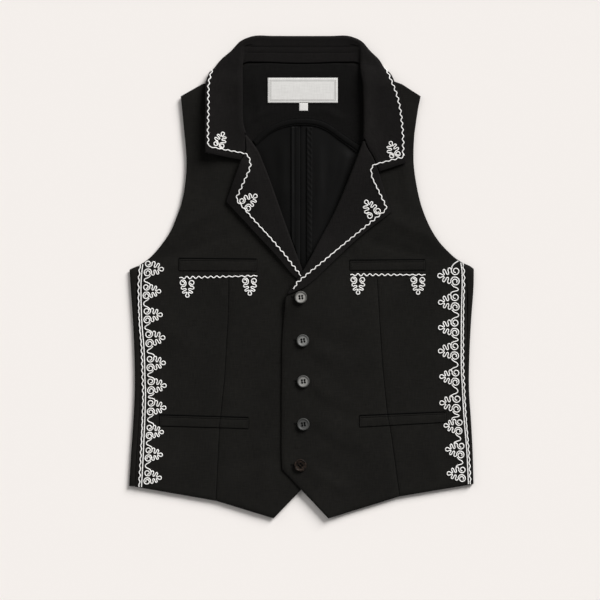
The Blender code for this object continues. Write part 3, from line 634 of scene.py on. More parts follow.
def collar_half(side, points, bottom, lift):
    """Rows from the collar point up to the back of the neck, on the side given."""
    rows = []
    for k, (x, y, ex, ey, limb) in enumerate(points):
        n = (side, 0.0)
        if k == 0:
            size = math.hypot(0.95, 0.32)
            n = (side * 0.95 / size, 0.32 / size)
        row = side_row((x, y), n, (ex, ey), limb, lift[k])
        if k == 0:
            for j, (bx, by) in enumerate(bottom):
                row[6 + j] = (bx, by, row[6 + j][2])
        rows.append(row)
    pull = CORNER_PULL[side]
    for k, row in enumerate(CORNER):
        rows.append([(side * x * (1 - pull[k] * ramp((j - 4) / 4)), y, z) for j, (x, y, z) in enumerate(row)])
    return rows


# Rows over the collar's halves: roll x, y, edge x, y, length of the limb under the front.
RIGHT_ROWS = [(-77.2, 200.2, -134.2, 173.4, LIMB), (-80.6, 212, -134.6, 192, LIMB),
              (-82, 228, -134.6, 214, LIMB), (-82, 244, -134.2, 238, LIMB), (-82, 257, -134.4, 256, 0.6),
              (-82, 272, -133.2, 274, 0.4)]
RIGHT_BOTTOM = [(-78.7, 187), (-79.2, 174), (-84.8, 163.6), (-101, 166.4), (-119, 170.2), (-134.2, 173.4)]
LEFT_ROWS = [(86.0, 191.6, 146.4, 159.4, LIMB), (86.5, 208, 146.2, 186, LIMB),
             (86.5, 226, 144.6, 214, LIMB), (86.5, 243, 141.4, 238, LIMB), (86, 256, 137, 256, 0.6),
             (85.5, 270, 130.6, 272, 0.4)]
LEFT_BOTTOM = [(92.8, 181.6), (101.8, 166.6), (108.9, 147.2), (121, 151), (134, 155.4), (146.4, 159.4)]
# How much narrower each corner row is than its table, for each side.
CORNER_PULL = {-1: (-0.028, 0.0, 0.015, 0.02, 0.01, 0.0, 0.0),
               1: (0.02, 0.034, 0.034, 0.034, 0.02, 0.0, 0.0)}
# Rows where the fall turns from over the shoulder to under the back, point by point.
CORNER = [
    [(86.4, 289, 6.1), (84.6, 288.9, 6.4), (83.4, 288.8, 6.9), (82.9, 288.7, 7.3), (83.5, 288.6, 8.0),
     (85.4, 288.5, 8.5), (95, 288.4, 8.7), (106, 288.2, 8.8), (114, 288.0, 8.5), (119, 287.6, 7.2),
     (122.6, 287.0, 5.6), (125.4, 286.4, 4.2)],
    [(83.5, 297.4, 5.0), (82.6, 299.6, 5.3), (82.2, 301.4, 6.0), (82.2, 302.4, 6.9), (83.0, 302.8, 7.9),
     (84.9, 303.2, 8.6), (92, 304, 8.9), (101, 305, 8.8), (108, 305.4, 7.8), (111.2, 304.9, 5.0),
     (109, 300.8, 1.2), (104, 288.6, 0.8)],
    [(76, 300.9, 4.9), (78.5, 305.6, 5.1), (80.5, 309.6, 5.6), (81.6, 311.9, 6.5), (82.5, 313.2, 7.6),
     (84.2, 314.2, 8.5), (89, 315.4, 8.8), (94, 316.4, 8.5), (97.8, 317.0, 7.3), (99.2, 315.6, 4.6),
     (97, 311.0, 1.1), (88, 287.0, 0.8)],
    [(66, 301.0, 4.9), (69.5, 308.2, 5.1), (73.2, 314.6, 5.5), (76.8, 320, 6.1), (79.4, 323.4, 6.9),
     (81.4, 325.4, 7.7), (83.4, 327.0, 8.1), (85.4, 328.3, 7.9), (87.1, 329.0, 6.8), (87.0, 327.6, 4.4),
     (84.6, 322.8, 1.1), (75, 286.4, 0.8)],
    [(52, 301.0, 4.9), (55.2, 308.4, 5.1), (58.6, 315.4, 5.4), (61.8, 321.6, 5.8), (64.6, 326.6, 6.3),
     (66.8, 330.4, 6.8), (68.2, 332.8, 7.2), (69.4, 334.8, 7.0), (70.0, 336.0, 5.9), (69.8, 335.8, 3.6),
     (68.6, 331.4, 1.0), (60, 286.2, 0.8)],
    [(34, 300.4, 4.9), (35.2, 308.2, 5.1), (36.4, 315.6, 5.3), (37.4, 321.8, 5.6), (38.4, 327, 5.9),
     (39.0, 331.0, 6.3), (39.4, 333.6, 6.5), (39.7, 335.6, 6.1), (39.9, 336.7, 4.9), (39.9, 336.4, 2.9),
     (39.4, 333.2, 0.9), (35, 286.6, 0.8)],
    [(15, 299.6, 4.9), (15.4, 307.6, 5.1), (15.8, 315.2, 5.3), (16.1, 321.6, 5.5), (16.3, 326.9, 5.8),
     (16.4, 331.0, 6.1), (16.5, 333.6, 6.3), (16.6, 335.6, 5.9), (16.6, 336.7, 4.7), (16.6, 336.4, 2.8),
     (16.4, 333.2, 0.9), (15, 286.8, 0.8)],
]


# Nodes.

def feed(tree, node, values):
    """Gives each input its number, its colour, or the output or first output of another node."""
    for label, value in values.items():
        if hasattr(value, "bl_idname") and hasattr(value, "outputs"):
            value = value.outputs[0]
        if hasattr(value, "is_output"):
            tree.links.new(value, node.inputs[label])
        else:
            node.inputs[label].default_value = value


def node_in(tree, kind, values, **settings):
    node = tree.nodes.new(kind)
    for label, value in settings.items():
        setattr(node, label, value)
    feed(tree, node, values)
    return node


def group_of(name, inputs, outputs, kind="ShaderNodeTree"):
    """A node group with its named inputs, as (label, kind, value), and its named outputs."""
    tree = bpy.data.node_groups.new(name, kind)
    for label, socket_kind, value in inputs:
        socket = tree.interface.new_socket(label, in_out="INPUT", socket_type="NodeSocket" + socket_kind)
        if value is not None:
            socket.default_value = value
    for label, socket_kind in outputs:
        tree.interface.new_socket(label, in_out="OUTPUT", socket_type="NodeSocket" + socket_kind)
    return tree, tree.nodes.new("NodeGroupInput").outputs, tree.nodes.new("NodeGroupOutput")


def maths(tree, kind, a, b=None):
    return node_in(tree, "ShaderNodeMath", {0: a} if b is None else {0: a, 1: b}, operation=kind).outputs[0]


def far_from(tree, x, y):
    """Length of the way that x and y give."""
    squares = maths(tree, "ADD", maths(tree, "MULTIPLY", x, x), maths(tree, "MULTIPLY", y, y))
    return maths(tree, "SQRT", squares)


def parts_of(tree, vector):
    return node_in(tree, "ShaderNodeSeparateXYZ", {0: vector}).outputs


def speckle(tree, vector, scale, detail, rough=0.5):
    values = {"Vector": vector, "Scale": scale, "Detail": detail, "Roughness": rough}
    return node_in(tree, "ShaderNodeTexNoise", values).outputs["Fac"]


def stretched(tree, vector, size):
    return node_in(tree, "ShaderNodeVectorMath", {0: vector, 1: size}, operation="MULTIPLY").outputs[0]


def mixed(tree, factor, a, b, blend="MIX"):
    """Colour that goes from a to b; each is a plain colour or an output."""
    a, b = (value if hasattr(value, "is_output") else (*value, 1.0) for value in (a, b))
    values = {"Factor": factor, "A": a, "B": b}
    return node_in(tree, "ShaderNodeMix", values, data_type="RGBA", blend_type=blend).outputs["Result"]


def spread_of(tree, value, low, high, to_low=0.0, to_high=1.0):
    values = {"Value": value, "From Min": low, "From Max": high, "To Min": to_low, "To Max": to_high}
    return node_in(tree, "ShaderNodeMapRange", values).outputs[0]


# Shader groups. Each gives masks, colours or heights; the shaders themselves are in the materials.

def plain_weave():
    """Crossing threads with slubs: Vector in metres, Threads for each metre."""
    tree, given, sink = group_of(
        "plain_weave", [("Vector", "Vector", None), ("Threads", "Float", 1400.0), ("Slub", "Float", 0.5)],
        [("Height", "Float"), ("Tone", "Float")])
    parts = parts_of(tree, given["Vector"])
    turns = maths(tree, "MULTIPLY", given["Threads"], math.pi)
    warp = maths(tree, "SINE", maths(tree, "MULTIPLY", parts["X"], turns))
    weft = maths(tree, "SINE", maths(tree, "MULTIPLY", parts["Y"], turns))
    crossing = maths(tree, "MULTIPLY", maths(tree, "MULTIPLY", warp, weft), 0.35)
    up = speckle(tree, stretched(tree, given["Vector"], (900, 70, 1)), 1.0, 2.0)
    over = speckle(tree, stretched(tree, given["Vector"], (70, 900, 1)), 1.0, 2.0)
    both = maths(tree, "ADD", up, over)
    slubs = maths(tree, "MULTIPLY", both, given["Slub"])
    feed(tree, sink, {"Height": maths(tree, "ADD", crossing, slubs),
                      "Tone": maths(tree, "MULTIPLY", both, 0.5)})
    return tree


def soft_wear():
    """Slow unevenness of dyed cloth, and fine lint, as two masks."""
    tree, given, sink = group_of(
        "soft_wear", [("Vector", "Vector", None), ("Patches", "Float", 14.0), ("Lint", "Float", 1500.0)],
        [("Patch", "Float"), ("Lint", "Float")])
    fluff = speckle(tree, given["Vector"], given["Lint"], 1.0)
    feed(tree, sink, {"Patch": speckle(tree, given["Vector"], given["Patches"], 3.0),
                      "Lint": maths(tree, "GREATER_THAN", fluff, 0.73)})
    return tree


def twisted_ply():
    """Strands that wind round a cord: U runs once round it and V along it in metres."""
    tree, given, sink = group_of(
        "twisted_ply", [("Vector", "Vector", None), ("Turns", "Float", 420.0), ("Strands", "Float", 2.0)],
        [("Height", "Float")])
    parts = parts_of(tree, given["Vector"])
    round_it = maths(tree, "MULTIPLY", parts["X"], given["Strands"])
    along_it = maths(tree, "MULTIPLY", parts["Y"], given["Turns"])
    angle = maths(tree, "MULTIPLY", maths(tree, "ADD", round_it, along_it), math.pi * 2)
    wave = maths(tree, "SINE", maths(tree, "MULTIPLY", angle, 0.5))
    feed(tree, sink, {"Height": maths(tree, "ABSOLUTE", wave)})
    return tree


WEAVE = plain_weave()
WEAR = soft_wear()
PLY = twisted_ply()


# Finishes.

def new_finish(name):
    finish = bpy.data.materials.new(name)
    finish.use_nodes = True
    return finish, finish.node_tree, finish.node_tree.nodes["Principled BSDF"]


def placed_group(tree, group, vector, **values):
    return node_in(tree, "ShaderNodeGroup", {"Vector": vector, **values}, node_tree=group).outputs


def chart_of(tree):
    return node_in(tree, "ShaderNodeUVMap", {}, uv_map="UVMap").outputs[0]


def object_place(tree):
    return tree.nodes.new("ShaderNodeTexCoord").outputs["Object"]


def bumped(tree, height, strength, distance):
    values = {"Height": height, "Strength": strength, "Distance": distance}
    return node_in(tree, "ShaderNodeBump", values).outputs[0]


def cloth_finish(name, dark, light, rough=0.9):
    """Woven cloth: plain weave, uneven dye, a little lint, and a soft sheen at glancing angles."""
    finish, tree, shader = new_finish(name)
    chart = chart_of(tree)
    weave = placed_group(tree, WEAVE, chart, Threads=1350.0, Slub=0.5)
    wear = placed_group(tree, WEAR, chart, Patches=13.0, Lint=1500.0)
    tone = mixed(tree, spread_of(tree, weave["Tone"], 0.34, 0.66), dark, light)
    worn = mixed(tree, spread_of(tree, wear["Patch"], 0.3, 0.7), (0.86, 0.86, 0.86), (1.12, 1.12, 1.12))
    dyed = mixed(tree, 1.0, tone, worn, "MULTIPLY")
    linty = mixed(tree, maths(tree, "MULTIPLY", wear["Lint"], 0.6), dyed, [1.9 * c for c in light])
    feed(tree, shader, {"Base Color": linty,
                        "Roughness": spread_of(tree, weave["Tone"], 0.3, 0.7, rough + 0.05, rough - 0.05),
                        "Normal": bumped(tree, weave["Height"], 0.55, 0.0003),
                        "Specular IOR Level": 0.1, "Sheen Weight": 0.004, "Sheen Roughness": 0.5,
                        "Sheen Tint": (0.9, 0.88, 0.86, 1.0)})
    return finish


def satin_finish(name, dark, light):
    """Close satin: long floats across the cloth, glossier than the suiting."""
    finish, tree, shader = new_finish(name)
    chart = chart_of(tree)
    weave = placed_group(tree, WEAVE, chart, Threads=3000.0, Slub=0.35)
    wear = placed_group(tree, WEAR, chart, Patches=20.0, Lint=1300.0)
    feed(tree, shader, {"Base Color": mixed(tree, spread_of(tree, wear["Patch"], 0.3, 0.7), dark, light),
                        "Roughness": spread_of(tree, weave["Tone"], 0.3, 0.7, 0.68, 0.55),
                        "Normal": bumped(tree, weave["Height"], 0.3, 0.00006),
                        "Specular IOR Level": 0.09, "Anisotropic": 0.3})
    return finish


def framed_label():
    """White woven label with a plain double frame near its edge and nothing written on it."""
    finish, tree, shader = new_finish("woven_label")
    weave = placed_group(tree, WEAVE, chart_of(tree), Threads=2400.0, Slub=0.5)
    parts = parts_of(tree, object_place(tree))
    inside = []
    for part, low, high in ((parts["X"], LABEL_X[0], LABEL_X[1]),
                            (parts["Y"], LABEL_Y[0] + SHIFT_Y, LABEL_Y[1] + SHIFT_Y)):
        off = maths(tree, "ABSOLUTE", maths(tree, "SUBTRACT", part, 0.5 * (low + high) * MM))
        inside.append(maths(tree, "SUBTRACT", 0.5 * (high - low) * MM, off))
    inside = maths(tree, "MINIMUM", *inside)
    lines = []
    for depth, half in ((3.2, 0.32), (4.7, 0.2)):
        off = maths(tree, "ABSOLUTE", maths(tree, "SUBTRACT", inside, depth * MM))
        lines.append(maths(tree, "LESS_THAN", off, half * MM))
    white = mixed(tree, spread_of(tree, weave["Tone"], 0.35, 0.65), (0.70, 0.685, 0.66), (0.80, 0.785, 0.76))
    woven_in = maths(tree, "MULTIPLY", maths(tree, "MAXIMUM", *lines), 0.75)
    feed(tree, shader, {"Base Color": mixed(tree, woven_in, white, (0.12, 0.115, 0.11)),
                        "Roughness": spread_of(tree, weave["Tone"], 0.3, 0.7, 0.62, 0.5),
                        "Normal": bumped(tree, weave["Height"], 0.4, 0.00006)})
    return finish


def cord_finish(name, dark, light, turns, strength, fuzz=0.0):
    """Twisted cord or thread, a little uneven; only the white ones have fuzz, and they shine more."""
    finish, tree, shader = new_finish(name)
    ply = placed_group(tree, PLY, chart_of(tree), Turns=turns, Strands=2.0)["Height"]
    dirt = placed_group(tree, WEAR, object_place(tree), Patches=60.0, Lint=1500.0)
    uneven = mixed(tree, spread_of(tree, dirt["Patch"], 0.3, 0.7), (0.9, 0.89, 0.87), (1.0, 1.0, 1.0))
    feed(tree, shader, {"Base Color": mixed(tree, 1.0, mixed(tree, ply, dark, light), uneven, "MULTIPLY"),
                        "Roughness": spread_of(tree, ply, 0.0, 1.0, 0.75, 0.55),
                        "Normal": bumped(tree, ply, strength, 0.0003),
                        "Sheen Weight": fuzz, "Specular IOR Level": 0.5 if fuzz else 0.04})
    return finish


def horn_finish(name, middle, turn, face, rim, cloud, spread, gloss):
    """Polished horn with cloudy streaks. The face colour fading to the rim colour paints the light's
    reflection on the horn, and near-black discs over the holes paint their shade. middle is in metres.
    """
    finish, tree, shader = new_finish(name)
    place = object_place(tree)
    streaks = speckle(tree, stretched(tree, place, (300, 560, 300)), 1.0, 4.0, 0.6)
    fine = speckle(tree, place, 2600.0, 2.0)
    parts = parts_of(tree, place)
    dx = maths(tree, "SUBTRACT", parts["X"], middle[0])
    dy = maths(tree, "SUBTRACT", parts["Y"], middle[1])
    cos = math.cos(math.radians(turn))
    sin = math.sin(math.radians(turn))
    over = maths(tree, "ADD", maths(tree, "MULTIPLY", dx, cos), maths(tree, "MULTIPLY", dy, sin))
    up = maths(tree, "SUBTRACT", maths(tree, "MULTIPLY", dy, cos), maths(tree, "MULTIPLY", dx, sin))
    hole_x = maths(tree, "SUBTRACT", maths(tree, "ABSOLUTE", over), HOLES_OUT[0] * MM)
    hole_y = maths(tree, "SUBTRACT", maths(tree, "ABSOLUTE", up), HOLES_OUT[1] * MM)
    # Painted reflection: the pale face colour fades to the darker rim colour.
    body = mixed(tree, spread_of(tree, far_from(tree, dx, dy), 5.2 * MM, 7.6 * MM), face, rim)
    painted_glint_and_streaks = mixed(tree, spread_of(tree, streaks, 0.42, 0.66, 0.0, spread), body, cloud)
    # Painted shade: near-black discs over the four holes.
    painted_hole_shade = spread_of(tree, far_from(tree, hole_x, hole_y), 1.4 * MM, 1.7 * MM, 1.0, 0.0)
    feed(tree, shader, {"Base Color": mixed(tree, painted_hole_shade, painted_glint_and_streaks, (0.002, 0.002, 0.002)),
                        "Roughness": spread_of(tree, fine, 0.3, 0.7, 0.34, 0.5),
                        "Normal": bumped(tree, fine, 0.12, 0.00008),
                        "Specular IOR Level": 0.3 * gloss,
                        "Coat Weight": 0.15 * gloss, "Coat Roughness": 0.2})
    return finish


# How far the four holes of a button are from its middle.
HOLES_OUT = (1.9, 1.8)
# Edges of the neck label, low and high.
LABEL_X = (-47.2, 50.8)
LABEL_Y = (243.7, 278.6)

SUITING = cloth_finish("black_suiting", (0.0062, 0.0058, 0.0050), (0.0104, 0.0097, 0.0084))
COLLAR_CLOTH = cloth_finish("collar_suiting", (0.0054, 0.0047, 0.0045), (0.0088, 0.0078, 0.0074))
# The back neck facing is the suiting made about half as dark: painted shade of the neck hollow under the
# collar roll.
FACING_PAINTED_SHADE = cloth_finish("facing_suiting_painted_shade", (0.0030, 0.0027, 0.0025), (0.0052, 0.0047, 0.0044))
# The binding is darker again: partly its own darker colour, partly the same painted shade of the neck hollow
# as the facing it is built on.
BINDING = cloth_finish("binding_suiting_with_painted_shade", (0.0013, 0.0012, 0.0011), (0.0026, 0.0024, 0.0022), 0.85)
SATIN = satin_finish("lining_satin_weave", (0.0020, 0.0019, 0.0018), (0.0036, 0.0034, 0.0032))
LABEL = framed_label()
CORD = cord_finish("white_cord", (0.84, 0.825, 0.8), (0.97, 0.96, 0.945), 420.0, 0.6, 0.12)
WHITE_THREAD = cord_finish("white_thread", (0.5, 0.49, 0.47), (0.74, 0.73, 0.71), 1500.0, 0.4, 0.12)
DARK_THREAD = cord_finish("black_thread", (0.0028, 0.0028, 0.0028), (0.0062, 0.006, 0.0058), 1500.0, 0.4)
# Near-black, blacker than the lining: at the pocket mouths and along the welts it is painted shade; on the
# dart seams and button threads it is dark thread.
BLACK_THREAD_AND_PAINTED_SHADE = cord_finish("black_thread_and_painted_shade", (0.0008, 0.0008, 0.0008), (0.0014, 0.0014, 0.0014), 300.0, 0.2)

# Each button's face, rim and cloud colours, how strongly the cloud shows, and its gloss.
# All five are the same dark horn; the paler face, rim and cloud colours of the first four paint the light's
# reflection on it.
HORNS_WITH_PAINTED_GLINT = [((0.36, 0.35, 0.33), (0.042, 0.041, 0.038), (0.17, 0.165, 0.15), 0.5, 1.0),
         ((0.22, 0.22, 0.21), (0.042, 0.042, 0.04), (0.11, 0.11, 0.105), 0.6, 1.0),
         ((0.26, 0.255, 0.24), (0.045, 0.044, 0.042), (0.12, 0.118, 0.11), 0.6, 1.0),
         ((0.072, 0.072, 0.07), (0.04, 0.04, 0.038), (0.042, 0.042, 0.04), 0.6, 0.8),
         ((0.0018, 0.0016, 0.0014), (0.0026, 0.002, 0.0018), (0.045, 0.03, 0.022), 0.9, 0.3)]


# Cloth pieces.

RIGHT_GRID = front_grid(
    SEAM_RIGHT, ARM_RIGHT, SHOULDER_RIGHT, [(-233.4, -293.6), (-119.7, -313.4), (-39, -338.1)],
    [(-39, -338.1), (27, -269.5), (28, -248), (28, -172), (27, -88), (24, -30)],
    WHOLE_RIGHT, 1, DART_RIGHT, 7)
LEFT_GRID = front_grid(
    SEAM_LEFT, ARM_LEFT, SHOULDER_LEFT, [(237.4, -290.6), (137.8, -307.3), (37.8, -338.1)],
    [(37.8, -338.1), (-27, -269.5), (-28, -248), (-28, -172), (-27, -88), (-21.8, -28.4)],
    WHOLE_LEFT, -1, DART_LEFT, 7)
front_right = laid_wall("front_right", refined(RIGHT_GRID, 4, 4), right_floor, CLOTH, right_relief, SUITING)
front_left = laid_wall("front_left", refined(LEFT_GRID, 4, 4), left_floor, CLOTH, left_relief, SUITING)

# The column of a back where it starts to turn round the side.
WRAP_FROM = 8
BACK_CREASES = [((-150, 180), (-60, 120), 14, 0.5), ((150, 190), (50, 140), 14, 0.5),
                ((-200, -40), (-110, -80), 15, 0.5), ((200, -60), (120, -90), 15, 0.45),
                ((-90, -180), (-60, -270), 16, 0.5), ((100, -170), (70, -280), 16, 0.5)]


def back_wall(node, points):
    """Half the back: its outer face lies flat on the floor, with shallow hollows at its creases."""
    fine = refined(points, 4, 4, turn=50, hard=(WRAP_FROM,))
    rows = len(fine)
    cols = len(fine[0])
    last_row = (len(SIDE_Y) - 1) * 4 + 1
    turn_at = WRAP_FROM * 4 + 1
    p = np.array(fine, float)
    p[last_row:, turn_at + 1:] = p[last_row, turn_at + 1:][None]
    n = np.zeros_like(p)
    n[:, :turn_at + 1, 2] = 1.0
    beyond = normals_of(p[:last_row + 1].tolist())
    if beyond[2, 4, 2] < 0:
        beyond = -beyond
    n[:last_row + 1, turn_at:] = beyond[:, turn_at:]
    squeeze = np.array([[rim(i, j, rows, cols) for j in range(cols)] for i in range(rows)])
    half = 0.5 * BACK_CLOTH * squeeze[:, :, None]
    upper = p + n * half
    lower = p - n * half
    for i in range(rows):
        for j in range(turn_at + 1):
            x, y, z = lower[i, j]
            hollow = max(0.0, creased(BACK_CREASES, x, y)) + max(0.0, slow_swell(x, y, 5.1, 0.35))
            seam = 0.5 * math.exp(-(x / 2.2) ** 2)
            lower[i, j, 2] = z + min(0.8, hollow + seam)

    def keep(i, j):
        return j < turn_at or i < last_row

    return wall(node, upper.tolist(), lower.tolist(), flat_size(fine), SUITING, keep)


back_right = back_wall("back_right", back_grid(FOLD_RIGHT, ARM_RIGHT, SEAM_RIGHT, -1, -293))
back_left = back_wall("back_left", back_grid(FOLD_LEFT, ARM_LEFT, SEAM_LEFT, 1, -290.4))


def lining_wall(node, fold, arm, arch, sign):
    grid = refined(lining_grid(fold, arm, arch, sign), 5, 5)
    return laid_wall(node, grid, lining_floor, LINING_CLOTH, lining_relief, SATIN)


lining_right = lining_wall("lining_right", FOLD_RIGHT, ARM_RIGHT, list(reversed(ARCH[:8])), -1)
lining_left = lining_wall("lining_left", FOLD_LEFT, ARM_LEFT, ARCH[7:], 1)

FACING_TOP = [(-167.5, 251.2), (-130, 267.6), (-112, 275), (-96, 281), (-77, 297.6), (-50, 299.3),
              (-25, 298.4), (-2, 298.0), (25, 298.4), (50, 299.3), (78, 297.6), (97, 281), (112, 275),
              (128, 269), (165.5, 251.2)]
facing_low = [(x, y + GAP) for x, y in ARCH]
facing_grid = patch(facing_low, FACING_TOP,
                    along([facing_low[0], (-160.5, 190), (-163.5, 220), FACING_TOP[0]], [2, 2, 2]),
                    along([facing_low[-1], (156.5, 190), (160, 220), FACING_TOP[-1]], [2, 2, 2]))
FACING_CREASES = [((-74, 216), (-38, 240), 4.5, 0.34), ((-70, 226), (-78, 270), 4.5, -0.3),
                  ((-60, 228), (-66, 284), 4, 0.26), ((56, 230), (70, 286), 6, -0.3),
                  ((24, 234), (66, 224), 5, 0.3)]


def facing_relief(x, y):
    """Small drag lines round the label, none under it."""
    outside = math.hypot(max(-47 - x, 0, x - 50), max(243 - y, 0, y - 279))
    calm = ramp((outside - 2) / 7) * ramp((away_from(BIND_TOP, x, y) - 1) / 6) * ramp((296 - y) / 12)
    drawn = max(0.0, 0.35 + creased(FACING_CREASES, x, y))
    return 0.12 * noise(Vector((x / 24.0, y / 20.0, 9.1))) + calm * drawn


back_facing = laid_wall("back_facing", refined(facing_grid, 5, 5), lining_floor, FACING_CLOTH, facing_relief,
                        FACING_PAINTED_SHADE)


def bind_line(t):
    """Line along the binding, from its lower edge at 0 to its upper edge at 1."""
    return [(lerp(a[0], b[0], t), lerp(a[1], b[1], t)) for a, b in zip(BIND_LOW, BIND_TOP)]


BINDING_MIDDLE = along(bind_line(0.5), [6] * 12)


def binding_floor(x, y):
    return LINING_FLOOR + BIND_LIFT - 0.1


def binding_relief(x, y):
    """The bound edge is a soft roll between two sewn lines."""
    off = min(math.hypot(x - a, y - b) for a, b in BINDING_MIDDLE)
    return 0.8 * max(0.0, 1.0 - (off / 4.6) ** 2) - 0.5 * math.exp(-((off - 4.0) / 0.8) ** 2)


facing_binding = laid_wall("facing_binding", refined([bind_line(t) for t in (0.0, 0.33, 0.67, 1.0)], 8, 8),
                           binding_floor, 1.1, binding_relief, BINDING)


def strip_grid(x0, x1, roll, top_y, rows, pucker):
    """Seam allowance on the lining, from the binding down to where the lapels close over it."""
    table = sorted((y, x) for x, y in roll)
    ends = []
    for x in (x0, x1):
        best = min((abs(across(0.5 * k, table) - x), 0.5 * k) for k in range(20, 260))
        ends.append(best[1] + 1.5)
    grid = []
    for i in range(rows + 1):
        t = i / rows
        line = []
        for k in range(4):
            u = k / 3
            y = lerp(lerp(ends[0], ends[1], u), top_y, t)
            y += pucker * 2.2 * (u - 0.5) * math.sin(math.pi * t)
            line.append((lerp(x0, x1, u), y))
        grid.append(line)
    return grid


def strip_floor(x, y):
    return LINING_FLOOR + LINING_CLOTH + GAP


def flat_strip_relief(x, y):
    """Two pressed ridges with a sewn line between them."""
    ridge = 0.6 * math.exp(-((x + 6.6) / 0.9) ** 2) + 0.5 * math.exp(-((x + 13.0) / 0.9) ** 2)
    ridge -= 0.5 * math.exp(-((x + 9.8) / 0.7) ** 2)
    return ridge + 0.15 * noise(Vector((x / 5.0, y / 18.0, 2.0)))


def puckered_relief(x, y):
    """Short slanting puckers all the way up the strip, like a loosely sewn seam."""
    wave = math.sin((y + 1.15 * (x - 11.3)) * 2 * math.pi / 8.4 + 0.8 * noise(Vector((0.3, y / 22.0, 6.0))))
    across_it = ramp((x - 7.2) / 1.6) * ramp((15.4 - x) / 1.6)
    depth = 0.17 + 0.1 * noise(Vector((0.1, y / 12.0, 3.0)))
    return across_it * (0.35 + depth * wave + 0.12 * noise(Vector((x / 2.0, y / 3.0, 1.0))))


flat_strip = refined(strip_grid(-14.4, -5.6, ROLL_RIGHT, 210.6, 20, 0.0), 4, 5)
puckered_strip = refined(strip_grid(7.2, 15.4, ROLL_LEFT, 209.8, 44, 1.0), 4, 5)
seam_right = laid_wall("seam_allowance_right", flat_strip, strip_floor, 1.0, flat_strip_relief, SATIN)
seam_left = laid_wall("seam_allowance_left", puckered_strip, strip_floor, 1.3, puckered_relief, SATIN)


# How far the collar and lapels stand up where they are lifted.
SPRING = 4.2


def lapel_relief(i, j, p):
    return slow_swell(p[0], p[1], 11.0, 0.22)


def rolled_up(grid):
    """The roll on the wearer's left stands higher, so that it shades the neck beside it."""
    low = LIMB_MID + 0.4
    out = []
    for row in grid:
        line = []
        for x, y, z in row:
            near = math.exp(-(away_from(WHOLE_LEFT, x, y) / 13.0) ** 2) if x > 0 else 0.0
            near *= ramp((y - 30) / 110) * ramp((306 - y) / 22)
            line.append((x, y, z + SPRING * near * ramp((z - low) / (LAPEL_MID - low))))
        out.append(line)
    return out


LAPEL_RIGHT = refined(lapel_grid(
    ROLL_RIGHT, [(8, -15.5), (-13, 3), (-29, 22.5), (-58, 54)], [(-105.3, 105), (-95, 134), (-84.3, 163)],
    [(-77.6, 187), (-77.8, 174)], 1, lambda x, y: 0.0, lambda u, v: 5.6 * u * u * v), 5, 4, turn=60)
LAPEL_RIGHT = [list(reversed(row)) for row in LAPEL_RIGHT]
LAPEL_LEFT = rolled_up(refined(lapel_grid(
    ROLL_LEFT, [(3.6, -15.2), (15.4, -6.3), (36, 13), (84, 58)], [(125.7, 90.3), (117, 118), (108.2, 146.6)],
    [(91.5, 181), (100.5, 166)], -1, lap_rise, lambda u, v: 0.4 * u * v), 5, 4, turn=60))
lapel_right, lapel_left = [folded_wall(node, grid, lapel_relief, [[p[:2] for p in row] for row in grid])
                           for node, grid in (("lapel_right", LAPEL_RIGHT), ("lapel_left", LAPEL_LEFT))]

COLLAR = refined(collar_half(-1, RIGHT_ROWS, RIGHT_BOTTOM, [3.4, 3.6, 3.2, 2.6, 1.8, 0.6])
                 + list(reversed(collar_half(1, LEFT_ROWS, LEFT_BOTTOM, [0.8, 0.8, 0.6, 0.5, 0.4, 0.2]))),
                 5, 5, turn=60)
COLLAR = [list(reversed(row)) for row in COLLAR]


def sprung(rows):
    """The free edge on the wearer's right springs up off the shoulder; nothing dips under the floor."""
    lowest = 0.5 * ROLLED_CLOTH + 0.12
    out = []
    for row in rows:
        side = ramp((-70 - row[0][0]) / 40) * ramp((290 - row[0][1]) / 50)
        out.append([(x, y, max(lowest, z + SPRING * side * ramp((34 - d) / 34)))
                    for (x, y, z), d in zip(row, run_of(np.array(row, float)))])
    return out


COLLAR = rolled_up(sprung(COLLAR))
STAND_LEVELS = (322.0, 314.0)


def stand_line(level, x):
    """y of a sewn line along the stand."""
    return level + 0.004 * abs(x)


def collar_relief(i, j, p):
    """Sewn lines along the stand sink a little, and the cloth between them puffs."""
    x, y, z = p
    if y > 304 and abs(x) < 84 and j > len(COLLAR[0]) * 0.4:
        return sum(-0.4 * math.exp(-((y - stand_line(level, x)) / 0.9) ** 2) for level in STAND_LEVELS) + 0.12
    return slow_swell(x, y, 13.0, 0.22)


collar = folded_wall("collar", COLLAR, collar_relief, flat_size(COLLAR))


def welt_wall(node, corners, top):
    """Pocket welt on the front: its corners are low at -X, low at +X, high at +X and high at -X."""
    (ax, ay), (bx, by), (cx, cy), (dx, dy) = corners
    grid = []
    for t in (0.0, 0.33, 0.67, 1.0):
        grid.append([(lerp(lerp(ax, bx, k / 8), lerp(dx, cx, k / 8), t),
                      lerp(lerp(ay, by, k / 8), lerp(dy, cy, k / 8), t)) for k in range(9)])

    def relief(x, y):
        u = (x - ax) / (bx - ax)
        low = lerp(ay, by, u)
        high = lerp(dy, cy, u)
        t = (y - low) / (high - low)
        puff = 0.22 * math.sin(math.pi * min(1.0, max(0.0, t)))
        ends = min(abs(x - ax), abs(x - bx))
        sewn = -0.3 * math.exp(-((ends - 2.2) / 0.7) ** 2)
        sewn -= 0.3 * math.exp(-((high - y - 2.0) / 0.7) ** 2)
        return puff + sewn + 0.14 * noise(Vector((x / 14.0, y / 9.0, 5.0)))

    return laid_wall(node, refined(grid, 5, 8), lambda x, y: top(x, y) + 0.1, 0.7, relief, SUITING)


